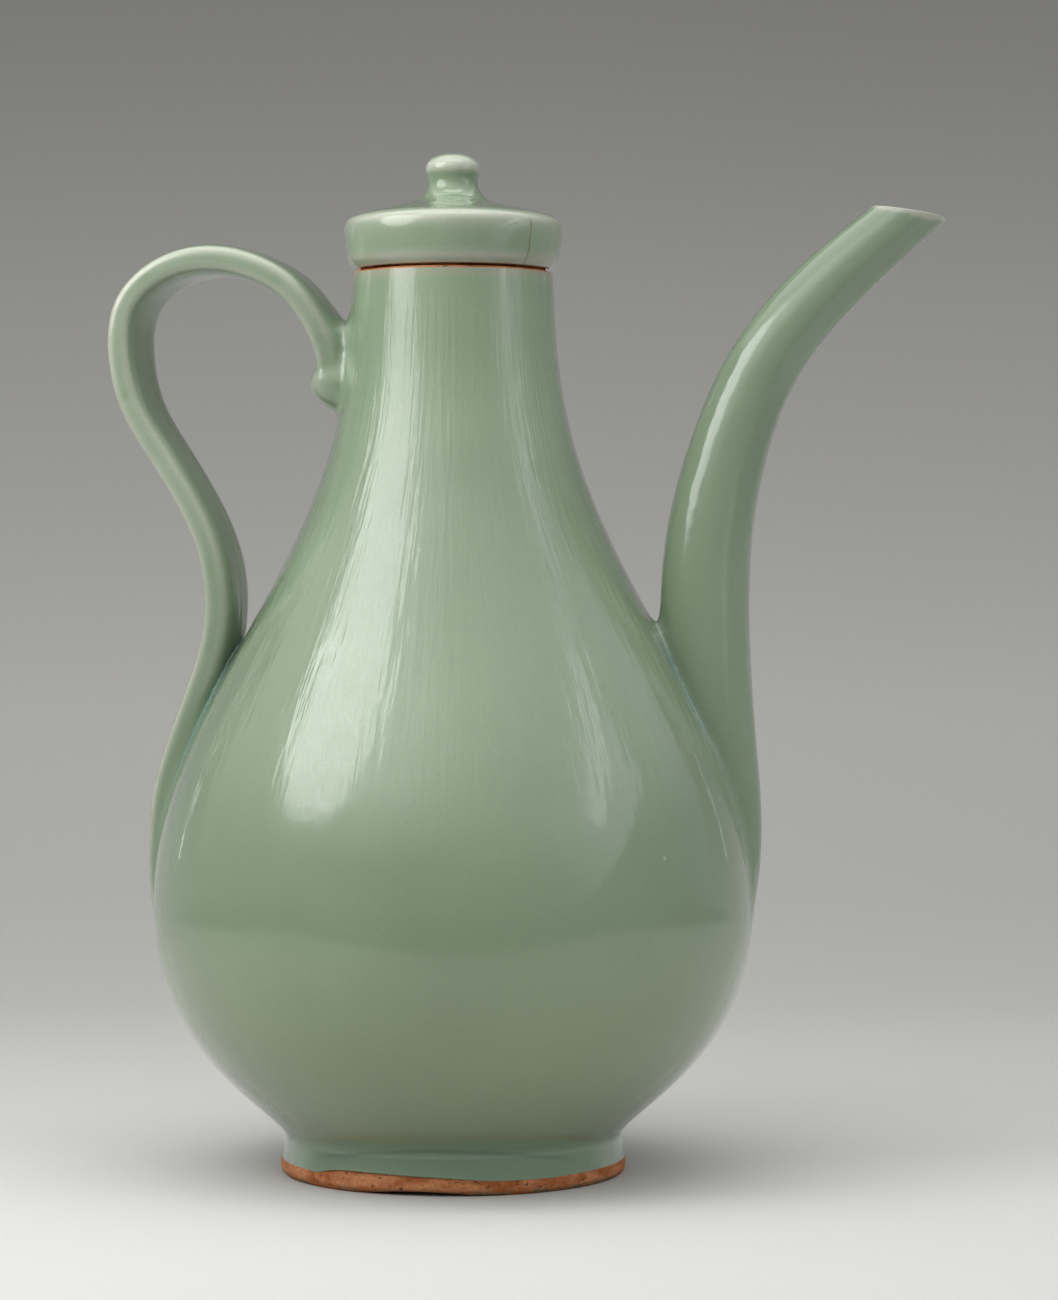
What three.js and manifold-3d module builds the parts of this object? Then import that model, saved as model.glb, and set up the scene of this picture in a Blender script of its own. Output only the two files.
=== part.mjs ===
// Lidded ewer: a pear-shaped pouring pot with a long curved spout, a strap handle and a drop-in lid.
// The body axis is vertical, the spout points along +X and the handle along -X.
import * as THREE from "three";
import { mergeVertices } from "three/addons/utils/BufferGeometryUtils.js";
import Module from "manifold-3d";

const wasm = await Module();
wasm.setup();

// Driving dimensions of the body, in millimetres
const bellyRadius = 95.6;
const bellyHeight = 91;
const rimRadius = 31.9;
const rimHeight = 287.4;
const neckTaper = 7.4;
const baseInset = 2.3;
const baseHeight = 12.5;
const wallThickness = 5;
const rimThickness = 4.5;
const floorThickness = 6.5;
const floorCove = 5;
const seamHeight = 66;
const rimBevel = 0.8;

// Exponents of the body outline: the shoulder above the belly and the hip below it
const shoulderStart = 1.983;
const shoulderEnd = 3.356;
const hipStart = 2.9;
const hipEnd = 1.2;

// Foot ring
const footRadius = 55.3;
const footWaistInset = 0.9;
const footFlareInset = 0.2;
const footFlareHeight = 3.2;
const footWallThickness = 7;
const footEdgeBevel = 0.8;
const footTaper = 1.2;

// Spout
const spoutWallAtRoot = 4.6;
const spoutWallAtLip = 2.4;
const spoutBoreStart = 0.27;
const pourHoleRadius = 8;
const pourHoleRise = 57;
const lipReach = 101.7;
const lipRise = 19.4;
const lipTilt = 9.6;

// Handle
const strapSquareness = 4;
const curlRadius = 5.3;
const curlHalfWidth = 10.5;

// Lid
const lidOverhang = 3.2;
const lidEdgeInset = 0.5;
const lidTuckHeight = 6.4;
const lidTuckCorner = 1.2;
const lidBandHeight = 14.6;
const lidShoulderInset = 2.5;
const lidShoulderHeight = 17.2;
const lidShoulderCorner = 16.8;
const lidDomeHeight = 23;
const lidDomeFlattening = 0.9;
const lidThickness = 5.5;
const flangeClearance = 0.9;
const flangeThickness = 4;
const flangeDepth = 13;
const knobFootRadius = 9.4;
const knobWaistRadius = 7.9;
const knobWaistHeight = 4.6;
const knobFootCorner = 0.6;
const knobRadius = 8.8;
const knobSwellHeight = 6.6;
const knobWidestHeight = 8.2;
const knobHeight = 14.2;

// Radii of the body's base and of the foot ring, which follow the foot
const baseRadius = footRadius - baseInset;
const footWaistRadius = footRadius - footWaistInset;
const footFlareRadius = footRadius - footFlareInset;

// Radii of the lid, which follow the rim
const lidEdgeRadius = rimRadius - lidEdgeInset;
const lidBandRadius = rimRadius + lidOverhang;
const lidShoulderRadius = lidBandRadius - lidShoulderInset;

// Height from the belly to the rim for which the spout and the handle are drawn
const drawnHeight = 196.4;

// Gap left at every luted or resting joint
const jointGap = 0.3;

// Fineness of the round surfaces
const turnedSides = 48;
const knobSides = 32;
const bowlSteps = 11;
const bowlInnerSteps = 9;
const shoulderSteps = 19;
const shoulderInnerSteps = 15;
const plugSteps = 40;
const pourHoleSides = 24;
const curlSides = 16;
const curlEndSteps = 4;
const spoutSides = 24;
const spoutSteps = 34;
const strapSides = 20;
const strapSteps = 48;

// Shape stations: out from the body's surface, height, half thickness in the plane of the handle
// and spout, and half width across it. Heights are counted from the belly or from the rim, and are
// drawn out or pressed together with the height between the two.
const reach = (rimHeight - bellyHeight) / drawnHeight;
const fromBelly = (out, rise, half, across = half) => [out, bellyHeight + rise * reach, half, across];
const fromRim = (out, rise, half, across = half) => [out, rimHeight + rise * reach, half, across];

const spoutStations = [
  fromBelly(-6, -14, 2),
  fromBelly(-3, 5, 5.3),
  fromBelly(-1.8, 24, 8.8),
  fromBelly(1.6, 47, 12),
  fromBelly(8.6, 68, 13.8),
  fromBelly(21.1, 93, 14.2),
  fromRim(32.3, -84, 13.7),
  fromRim(47.4, -59.2, 12.6),
  fromRim(65.3, -30.3, 11.5),
  fromRim(82.1, -10.4, 10.8),
  fromRim(106.3, 11.4, 9.6),
  fromRim(118.8, 21.8, 8.9),
];

const strapStations = [
  fromRim(5.1, -36.6, 5.2, 9.5),
  fromRim(5.4, -26.4, 5.2, 11),
  fromRim(10, -16.6, 5.1, 12),
  fromRim(18.6, -5.6, 5, 12.6),
  fromRim(32, 2, 5, 13),
  fromRim(46, 4, 5.1, 13.4),
  fromRim(60.8, -0.3, 5.3, 13.8),
  fromRim(71.1, -11, 5.5, 14),
  fromRim(72, -25.4, 5.6, 14),
  fromRim(65.4, -42.9, 5.6, 13.8),
  fromBelly(53.6, 139.2, 5.6, 13.6),
  fromBelly(40, 125, 5.6, 13.4),
  fromBelly(28, 111.8, 5.7, 13),
  fromBelly(17.8, 98, 5.9, 12.6),
  fromBelly(9.7, 83, 5.8, 12),
  fromBelly(5, 66, 5.5, 10.8),
  fromBelly(3, 48, 5.2, 9.2),
  fromBelly(1.6, 28, 4.6, 7.4),
  fromBelly(-0.6, 8, 3.8, 5.2),
  fromBelly(-1.7, -7, 3.2, 3.6),
  fromBelly(-3.6, -19, 2.4, 2.2),
];

// Outer radius of the body at a height
function bodyRadiusAt(z) {
  if (z >= bellyHeight) {
    const s = Math.min((z - bellyHeight) / (rimHeight - bellyHeight), 1);
    const swell = bellyRadius - rimRadius - neckTaper;
    return rimRadius + neckTaper * (1 - s) + swell * (1 - s ** shoulderStart) ** shoulderEnd;
  }
  const u = Math.min((bellyHeight - z) / (bellyHeight - baseHeight), 1);
  return baseRadius + (bellyRadius - baseRadius) * (1 - u ** hipStart) ** hipEnd;
}

// Point of the body outline at a height, set in from the outer surface along its normal
function outlinePoint(z, inset) {
  const step = 0.05;
  const slope = (bodyRadiusAt(z + step) - bodyRadiusAt(z - step)) / (2 * step);
  const length = Math.hypot(1, slope);
  return new THREE.Vector2(bodyRadiusAt(z) - inset / length, z + (inset * slope) / length);
}

// Outline points between two heights
function outline(low, high, count, inset) {
  return Array.from({ length: count + 1 }, (_, i) => {
    return outlinePoint(low + ((high - low) * i) / count, inset);
  });
}

// Points of a curve from one point to another that bulges towards the corner between them
function bend(from, corner, to, count) {
  const curve = new THREE.QuadraticBezierCurve(from, corner, to);
  return curve.getPoints(count);
}

const at = (r, z) => new THREE.Vector2(r, z);

// Solid of revolution from a closed outline in radius and height
function turned(points, sides = turnedSides) {
  const onAxis = points[0].x === 0 && points.at(-1).x === 0;
  const ring = onAxis ? points : [...points, points[0]];
  const ordered = THREE.ShapeUtils.area(points) < 0 ? ring.slice().reverse() : ring;
  return new THREE.LatheGeometry(ordered, sides).rotateX(Math.PI / 2);
}

// Rounds a unit circle coordinate towards a square with soft corners; a trace of rounding error
// counts as zero, so that the seam of a ring meets itself exactly
const rounding = 1e-6;
const squared = (c, squareness) => {
  return Math.abs(c) < rounding ? 0 : Math.sign(c) * Math.abs(c) ** (2 / squareness);
};

// Tapering bar bent along the stations: a cylinder whose rings are moved onto the centre line
function swept(stations, side, sides, steps, { start = 0, squareness = 2, inset = () => 0 } = {}) {
  const points = stations.map(([out, z]) => new THREE.Vector3(side * (bodyRadiusAt(z) + out), 0, z));
  const path = new THREE.CatmullRomCurve3(points);
  const sizes = new THREE.SplineCurve(stations.map(([, , half, across]) => at(half, across)));
  const bar = new THREE.CylinderGeometry(1, 1, 1, sides, steps);
  const position = bar.getAttribute("position");
  const across = new THREE.Vector3(0, 1, 0);
  for (let i = 0; i < position.count; i += 1) {
    const t = start + (1 - start) * (position.getY(i) + 0.5);
    const tangent = path.getTangent(t);
    const normal = tangent.clone().cross(across);
    const size = sizes.getPoint(t).subScalar(inset(t));
    const moved = path
      .getPoint(t)
      .addScaledVector(normal, squared(position.getX(i), squareness) * size.x)
      .addScaledVector(across, squared(position.getZ(i), squareness) * size.y);
    position.setXYZ(i, moved.x, moved.y, moved.z);
  }
  return bar;
}

// Closed solid of a geometry, ready to be joined or cut
function solidOf(geometry) {
  const bare = geometry.index ? geometry.toNonIndexed() : geometry.clone();
  bare.deleteAttribute("normal");
  bare.deleteAttribute("uv");
  const merged = mergeVertices(bare, 1e-4);
  return new wasm.Manifold(
    new wasm.Mesh({
      numProp: 3,
      vertProperties: merged.getAttribute("position").array,
      triVerts: new Uint32Array(merged.index.array),
    }),
  );
}

// Geometry of a solid
function geometryOf(solid) {
  const mesh = solid.getMesh();
  const geometry = new THREE.BufferGeometry();
  geometry.setAttribute("position", new THREE.BufferAttribute(mesh.vertProperties, 3));
  geometry.setIndex(new THREE.BufferAttribute(mesh.triVerts, 1));
  return geometry;
}

// The whole body as one plug, a joint gap larger all round, that trims the spout and the handle
function bodyPlug() {
  const skin = outline(baseHeight, rimHeight, plugSteps, -jointGap);
  return solidOf(turned([at(0, skin[0].y), ...skin, at(0, skin.at(-1).y)]));
}

// Foot ring: slightly flared, with a flat resting edge and a hollow inside
function footRing() {
  const inner = footRadius - footWallThickness;
  const top = baseHeight - jointGap;
  return turned([
    at(inner + footEdgeBevel, 0),
    at(footRadius - footEdgeBevel, 0),
    at(footRadius, footEdgeBevel),
    at(footFlareRadius, footFlareHeight),
    at(footWaistRadius, (footFlareHeight + top) / 2),
    at(footWaistRadius, top),
    at(inner - footTaper, top),
    at(inner, footEdgeBevel),
  ]);
}

// Lower half of the thrown body: a bowl with a flat floor
function lowerBody() {
  const floor = baseHeight + floorThickness;
  const outside = outline(baseHeight, seamHeight, bowlSteps, 0);
  const wall = outline(baseHeight, seamHeight, bowlInnerSteps, wallThickness);
  const inside = wall.filter((p) => p.y > floor + rimBevel);
  const seam = at(bodyRadiusAt(seamHeight) - wallThickness, seamHeight);
  inside[inside.length - 1] = seam;
  return turned([
    at(0, baseHeight),
    ...outside,
    ...inside.reverse(),
    at(inside.at(-1).x - floorCove, floor),
    at(0, floor),
  ]);
}

// Inner radius of the mouth
const mouthRadius = rimRadius - rimThickness;

// Upper half of the body: shoulder and neck, pierced behind the spout
function upperBody() {
  const low = seamHeight + jointGap;
  const bearing = rimHeight - rimBevel;
  const outside = outline(low, bearing, shoulderSteps, 0);
  const inside = outline(low, bearing, shoulderInnerSteps, wallThickness);
  inside[0] = at(bodyRadiusAt(low) - wallThickness, low);
  inside[inside.length - 1] = at(mouthRadius, bearing);
  const shell = turned([
    ...outside,
    at(rimRadius - rimBevel, rimHeight),
    at(mouthRadius + rimBevel, rimHeight),
    ...inside.reverse(),
  ]);
  const drill = new THREE.CylinderGeometry(pourHoleRadius, pourHoleRadius, bellyRadius, pourHoleSides);
  drill.rotateZ(Math.PI / 2);
  drill.translate(bellyRadius / 2 + pourHoleRadius, 0, bellyHeight + pourHoleRise * reach);
  return geometryOf(solidOf(shell).subtract(solidOf(drill)));
}

// Spout: a tapering tube with a teardrop root, cut off level at a beak-shaped lip
function spout() {
  const wallAt = (t) => THREE.MathUtils.lerp(spoutWallAtRoot, spoutWallAtLip, t);
  const tube = solidOf(swept(spoutStations, 1, spoutSides, spoutSteps));
  const bore = solidOf(
    swept(spoutStations, 1, spoutSides, spoutSteps, { start: spoutBoreStart, inset: wallAt }),
  );
  const cutter = new THREE.BoxGeometry(bellyRadius, bellyRadius, bellyRadius);
  cutter.translate(0, 0, bellyRadius / 2);
  cutter.rotateY(THREE.MathUtils.degToRad(lipTilt));
  cutter.translate(rimRadius + lipReach, 0, rimHeight + lipRise * reach);
  return geometryOf(tube.subtract(bore).subtract(bodyPlug()).subtract(solidOf(cutter)));
}

// Handle: a broad strap that leaves the neck in a curl and runs down into a long tongue
function handle() {
  const strap = solidOf(swept(strapStations, -1, strapSides, strapSteps, { squareness: strapSquareness }));
  const [out, height] = strapStations[0];
  const curlLength = 2 * (curlHalfWidth - curlRadius);
  const curl = new THREE.CapsuleGeometry(curlRadius, curlLength, curlEndSteps, curlSides);
  curl.translate(-(bodyRadiusAt(height) + out), 0, height);
  return geometryOf(strap.add(solidOf(curl)).subtract(bodyPlug()));
}

// Height at which the lid rests on the rim
const seatHeight = rimHeight + jointGap;
const flangeRadius = mouthRadius - flangeClearance;
const flangeBore = flangeRadius - flangeThickness;

// Lid cap: an upright band that tucks in below and a shallow dome, hollow underneath
function lidCap() {
  const z = (height) => seatHeight + height;
  const tuck = bend(
    at(lidEdgeRadius, z(0)),
    at(lidBandRadius, z(lidTuckCorner)),
    at(lidBandRadius, z(lidTuckHeight)),
    5,
  );
  const shoulder = bend(
    at(lidBandRadius, z(lidBandHeight)),
    at(lidBandRadius, z(lidShoulderCorner)),
    at(lidShoulderRadius, z(lidShoulderHeight)),
    4,
  );
  const dome = bend(
    at(lidShoulderRadius, z(lidShoulderHeight)),
    at(lidShoulderRadius / 2, z(lidDomeHeight - lidDomeFlattening)),
    at(knobFootRadius, z(lidDomeHeight)),
    4,
  );
  const hollow = bend(
    at(0, z(lidDomeHeight - lidThickness)),
    at(flangeBore, z(lidShoulderHeight - lidThickness)),
    at(flangeBore, z(0)),
    6,
  );
  return turned([...hollow, ...tuck, ...shoulder, ...dome.slice(1), at(0, z(lidDomeHeight))]);
}

// Lid flange: the ring under the cap that drops into the mouth and keeps the lid centred
function lidFlange() {
  const top = seatHeight - jointGap;
  const bottom = top - flangeDepth;
  const bevel = flangeThickness / 4;
  return turned([
    at(flangeBore, top),
    at(flangeBore, bottom + bevel),
    at(flangeBore + bevel, bottom),
    at(flangeRadius - bevel, bottom),
    at(flangeRadius, bottom + bevel),
    at(flangeRadius, top),
  ]);
}

// Knob: a waisted bud on a flared foot
function lidKnob() {
  const low = seatHeight + lidDomeHeight + jointGap;
  const z = (height) => low + height;
  const flare = bend(
    at(knobFootRadius, z(0)),
    at(knobWaistRadius, z(knobFootCorner)),
    at(knobWaistRadius, z(knobWaistHeight)),
    4,
  );
  const bud = bend(
    at(knobWaistRadius, z(knobWaistHeight)),
    at(knobWaistRadius, z(knobSwellHeight)),
    at(knobRadius, z(knobWidestHeight)),
    3,
  );
  const crown = bend(
    at(knobRadius, z(knobWidestHeight)),
    at(knobRadius, z(knobHeight)),
    at(0, z(knobHeight)),
    6,
  );
  return turned([at(0, z(0)), ...flare, ...bud.slice(1), ...crown.slice(1)], knobSides);
}

const glaze = { color: 0x8fa88c, roughness: 0.22, metalness: 0 };
const bareClay = { color: 0xb5713f, roughness: 0.85, metalness: 0 };

// Named piece with its own material
function piece(name, geometry, finish) {
  const mesh = new THREE.Mesh(geometry, new THREE.MeshStandardMaterial(finish));
  mesh.name = name;
  return mesh;
}

const vessel = new THREE.Group();
vessel.add(
  piece("foot_ring", footRing(), bareClay),
  piece("lower_body", lowerBody(), glaze),
  piece("upper_body", upperBody(), glaze),
  piece("spout", spout(), glaze),
  piece("handle", handle(), glaze),
);

const lid = new THREE.Group();
lid.add(
  piece("lid_cap", lidCap(), glaze),
  piece("lid_flange", lidFlange(), bareClay),
  piece("lid_knob", lidKnob(), glaze),
);

// The origin lies on the table, in the middle of the ewer's footprint
const ewer = new THREE.Group();
ewer.add(vessel, lid);
const extent = new THREE.Box3().setFromObject(ewer, true);
vessel.position.x = -(extent.min.x + extent.max.x) / 2;
lid.position.x = vessel.position.x;

export default ewer;
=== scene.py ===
"""Lidded celadon ewer: the glazed pot with its spout and strap handle, its bare clay edges, and the lid.

Shapes are worked in millimetres from the axis that the pot was turned on, with height counted from the
table. Each finished mesh is then carried over to metres, in the place of the pieces that it stands for.
Azimuths are in degrees round the pot, with the spout at 0 and the handle at 180.
"""

import logging
import math
from dataclasses import dataclass, field
from enum import Enum
from typing import Iterable, NamedTuple, Sequence

import bmesh
import bpy
import numpy as np
from bmesh.types import BMEdge, BMesh, BMVert
from bpy.types import Material, Mesh, NodeSocket, Object
from mathutils import Matrix, Vector


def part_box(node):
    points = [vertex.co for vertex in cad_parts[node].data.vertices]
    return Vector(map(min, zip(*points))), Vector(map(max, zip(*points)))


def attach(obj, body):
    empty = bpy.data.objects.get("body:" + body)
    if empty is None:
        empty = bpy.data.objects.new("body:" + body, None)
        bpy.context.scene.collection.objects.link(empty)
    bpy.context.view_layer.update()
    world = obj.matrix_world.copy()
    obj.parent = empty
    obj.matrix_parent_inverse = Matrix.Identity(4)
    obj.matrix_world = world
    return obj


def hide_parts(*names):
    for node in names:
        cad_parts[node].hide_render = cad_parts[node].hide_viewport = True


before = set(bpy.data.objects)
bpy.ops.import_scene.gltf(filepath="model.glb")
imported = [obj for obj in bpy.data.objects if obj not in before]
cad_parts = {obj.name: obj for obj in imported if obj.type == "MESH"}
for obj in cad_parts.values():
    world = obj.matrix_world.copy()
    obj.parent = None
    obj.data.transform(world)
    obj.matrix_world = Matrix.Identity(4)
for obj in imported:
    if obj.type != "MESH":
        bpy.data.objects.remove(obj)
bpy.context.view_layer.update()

log = logging.getLogger("ewer")

MM = 0.001
CAMERA_SIDE = -83
UP = Vector((0, 0, 1))
TINY = 1e-6
WELD = 1e-4
NOISE_SPAN = (0.3, 0.7)


def pot_axis() -> Vector:
    """Middle of the foot ring's footprint, where the turning axis meets the table, in metres."""
    low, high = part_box("foot_ring")
    return Vector(((low.x + high.x) / 2, (low.y + high.y) / 2, 0))


AXIS = pot_axis()
TO_FRAME = Matrix.Translation(AXIS) @ Matrix.Scale(MM, 4)


class Spline:
    """Natural cubic spline: a smooth line through given values whose bend never jumps."""

    def __init__(self, knots: Sequence[float], values: Sequence) -> None:
        """Work out the second slopes at the knots.

        Args:
            knots: places along the line, rising.
            values: a number or a row of numbers at each knot.
        """
        self.knots = np.asarray(knots, float)
        self.values = np.asarray(values, float).reshape(len(self.knots), -1)
        spans = np.diff(self.knots)
        matrix = np.eye(len(self.knots))
        right = np.zeros_like(self.values)
        rises = np.diff(self.values, axis=0) / spans[:, None]
        for i in range(1, len(self.knots) - 1):
            matrix[i, i - 1 : i + 2] = spans[i - 1], 2 * (spans[i - 1] + spans[i]), spans[i]
            right[i] = 6 * (rises[i] - rises[i - 1])
        self.bends = np.linalg.solve(matrix, right)

    def at(self, place: np.ndarray) -> np.ndarray:
        """Values at the given places, one row each, carried on straight past the ends."""
        place = np.atleast_1d(np.asarray(place, float))
        inside = np.clip(place, self.knots[0], self.knots[-1])
        values, slopes = self._cubic(inside)
        return values + slopes * (place - inside)[:, None]

    def slope(self, place: np.ndarray) -> np.ndarray:
        """Slopes of the values at the given places."""
        place = np.atleast_1d(np.asarray(place, float))
        return self._cubic(np.clip(place, self.knots[0], self.knots[-1]))[1]

    def _cubic(self, place: np.ndarray) -> tuple[np.ndarray, np.ndarray]:
        """Values and slopes at places between the first and the last knot."""
        i = np.clip(np.searchsorted(self.knots, place) - 1, 0, len(self.knots) - 2)
        span = (self.knots[i + 1] - self.knots[i])[:, None]
        b = (place - self.knots[i])[:, None] / span
        a = 1 - b
        low, high = self.values[i], self.values[i + 1]
        low_bend, high_bend = self.bends[i], self.bends[i + 1]
        values = a * low + b * high + span**2 / 6 * ((a**3 - a) * low_bend + (b**3 - b) * high_bend)
        slopes = (high - low) / span + span / 6 * ((3 * b**2 - 1) * high_bend - (3 * a**2 - 1) * low_bend)
        return values, slopes


@dataclass(frozen=True)
class BodyOutline:
    """Turned outline of the body from its foot to its mouth."""

    belly_radius: float = 95.5
    belly_height: float = 91
    rim_radius: float = 31.9
    rim_height: float = 287.4
    neck_taper: float = 7.4
    base_radius: float = 53
    base_height: float = 12.5
    shoulder_start: float = 1.983
    shoulder_end: float = 3.356
    hip_start: float = 2.9
    hip_end: float = 1.2
    foot: tuple = ((2.0, 55.1), (4.5, 54.9), (7.5, 54.45), (10.5, 54.05), (13.2, 54.2), (15.0, 55.6))
    heights: tuple = (18, 24, 34, 46, 60, 76, 106, 124, 144, 164, 184, 204, 224, 244, 266, 287.4)

    def formed(self, height: float) -> float:
        """Radius that the throwing gives at a height, before the curve is smoothed."""
        if height >= self.belly_height:
            share = min((height - self.belly_height) / (self.rim_height - self.belly_height), 1)
            swell = self.belly_radius - self.rim_radius - self.neck_taper
            shoulder = (1 - share**self.shoulder_start) ** self.shoulder_end
            return self.rim_radius + self.neck_taper * (1 - share) + swell * shoulder
        share = min((self.belly_height - height) / (self.belly_height - self.base_height), 1)
        hip = (1 - share**self.hip_start) ** self.hip_end
        return self.base_radius + (self.belly_radius - self.base_radius) * hip

    def curve(self) -> Spline:
        """Smooth radius over height, foot included."""
        points = [*self.foot, *((height, self.formed(height)) for height in self.heights)]
        return Spline(*zip(*points))


OUTLINE = BodyOutline()
BODY = OUTLINE.curve()


class Station(NamedTuple):
    """One place along a bar: how far out from the body, its height, half thickness and half width."""

    out: float
    height: float
    half: float
    across: float


def from_belly(out: float, rise: float, half: float, across: float | None = None) -> Station:
    """Station with its height counted from the belly."""
    return Station(out, OUTLINE.belly_height + rise, half, half if across is None else across)


def from_rim(out: float, rise: float, half: float, across: float | None = None) -> Station:
    """Station with its height counted from the rim."""
    return Station(out, OUTLINE.rim_height + rise, half, half if across is None else across)


class Bar:
    """Tapering bar that follows a curve in the middle plane of the pot, such as the spout or the strap."""

    samples = 500
    chunk = 20000
    least_half = 0.2

    def __init__(self, stations: Sequence[Station], side: int, squareness: float = 2) -> None:
        """Lay the centre line through the stations.

        Args:
            stations: places along the bar.
            side: 1 for the spout's side and -1 for the handle's.
            squareness: 2 for a round section, more for one with flat sides and soft corners.
        """
        self.squareness = squareness
        points = np.array([(side * (OUTLINE.formed(s.height) + s.out), s.height) for s in stations])
        run = np.concatenate([[0], np.cumsum(np.hypot(*np.diff(points, axis=0).T))])
        self.length = float(run[-1])
        self.line = Spline(run, points)
        self.size = Spline(run, [(s.half, s.across) for s in stations])
        self.places = np.linspace(0, self.length, self.samples)
        self.centres = self.line.at(self.places)
        tangents = self.line.slope(self.places)
        self.tangents = tangents / np.linalg.norm(tangents, axis=1)[:, None]

    def nearest(self, points: np.ndarray) -> np.ndarray:
        """Index of the sample of the centre line nearest to each point."""
        flat = points[:, [0, 2]]
        found = np.empty(len(flat), int)
        squares = (self.centres**2).sum(1)[None]
        for start in range(0, len(flat), self.chunk):
            part = slice(start, start + self.chunk)
            found[part] = (squares - 2 * (flat[part] @ self.centres.T)).argmin(1)
        return found

    def gap(self, points: np.ndarray, near: np.ndarray) -> np.ndarray:
        """Distance from the bar's surface, negative inside it.

        Args:
            points: rows of x, y and z.
            near: index of the nearest sample for each point.

        Returns:
            One distance for each point.
        """
        flat = points[:, [0, 2]]
        place = self.places[near] + ((flat - self.centres[near]) * self.tangents[near]).sum(1)
        offset = flat - self.line.at(place)
        slope = self.line.slope(place)
        slope /= np.linalg.norm(slope, axis=1)[:, None]
        up = offset[:, 0] * slope[:, 1] - offset[:, 1] * slope[:, 0]
        past = np.maximum(np.maximum(-place, place - self.length), 0)
        sizes = np.maximum(self.size.at(np.clip(place, 0, self.length)), self.least_half)
        u, v = np.abs(up) / sizes[:, 0], np.abs(points[:, 1]) / sizes[:, 1]
        power = self.squareness
        level = np.maximum((u**power + v**power) ** (1 / power), TINY)
        pull = np.hypot((u / level) ** (power - 1) / sizes[:, 0], (v / level) ** (power - 1) / sizes[:, 1])
        side = (level - 1) / np.maximum(pull, TINY)
        return np.where(past > 0, np.hypot(np.maximum(side, 0), past), side)

    def loop_place(self, place: float, inset: float = 0) -> Matrix:
        """Matrix that takes a unit loop in the X-Y plane to the bar's section at a place.

        Args:
            place: distance along the centre line.
            inset: how much smaller than the bar the loop is, all round.

        Returns:
            The matrix, with X out of the curve, Y across the pot and Z along the bar.
        """
        x, z = self.line.at(place)[0]
        dx, dz = self.line.slope(place)[0]
        length = math.hypot(dx, dz)
        half, across = self.size.at(min(max(place, 0), self.length))[0] - inset
        rows = (dz / length, 0, dx / length, x), (0, 1, 0, 0), (-dx / length, 0, dz / length, z), (0, 0, 0, 1)
        return Matrix(rows) @ Matrix.Diagonal((half, across, 1, 1))


SPOUT = Bar(
    [
        from_belly(-6, -14, 2),
        from_belly(-3, 5, 5.3),
        from_belly(-1.8, 24, 8.8),
        from_belly(1.6, 47, 12),
        from_belly(8.6, 68, 13.8),
        from_belly(21.1, 93, 14.2),
        from_rim(32.3, -84, 13.7),
        from_rim(47.4, -59.2, 12.6),
        from_rim(65.3, -30.3, 11.5),
        from_rim(82.1, -10.4, 10.8),
        from_rim(106.3, 11.4, 9.6),
        from_rim(118.8, 21.8, 8.9),
    ],
    side=1,
)

STRAP = Bar(
    [
        from_rim(2.6, -35.6, 4.8, 9.5),
        from_rim(4.9, -26.4, 4.5, 11),
        from_rim(9.5, -16.6, 4.4, 12),
        from_rim(18.2, -5.6, 4.6, 12.6),
        from_rim(32, 2, 4.9, 13),
        from_rim(46, 4, 5.0, 13.4),
        from_rim(60.5, -0.3, 4.8, 13.8),
        from_rim(70.2, -11, 4.6, 14),
        from_rim(71.1, -25.4, 4.6, 14),
        from_rim(64.7, -42.9, 4.6, 13.8),
        from_belly(53.0, 139.2, 4.6, 13.6),
        from_belly(39.4, 125, 4.6, 13.4),
        from_belly(27.4, 111.8, 4.7, 13),
        from_belly(17.2, 98, 4.9, 12.6),
        from_belly(9.2, 83, 4.9, 12),
        from_belly(4.7, 66, 4.8, 10.8),
        from_belly(2.9, 48, 4.7, 9.2),
        from_belly(1.6, 28, 4.4, 7.4),
        from_belly(-0.6, 8, 3.8, 5.2),
        from_belly(-1.7, -7, 3.2, 3.6),
        from_belly(-3.6, -19, 2.4, 2.2),
    ],
    side=-1,
    squareness=3.6,
)


def soft_union(a: np.ndarray, b: np.ndarray, reach: np.ndarray | float) -> np.ndarray:
    """Union of two shapes given by their distances, with the corner between them filled.

    Args:
        a: distances from the first shape.
        b: distances from the second shape.
        reach: how far from the corner the filling starts.

    Returns:
        Distances from the joined shape.
    """
    share = np.maximum(reach - np.abs(a - b), 0) / reach
    return np.minimum(a, b) - share**3 * reach / 6


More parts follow.
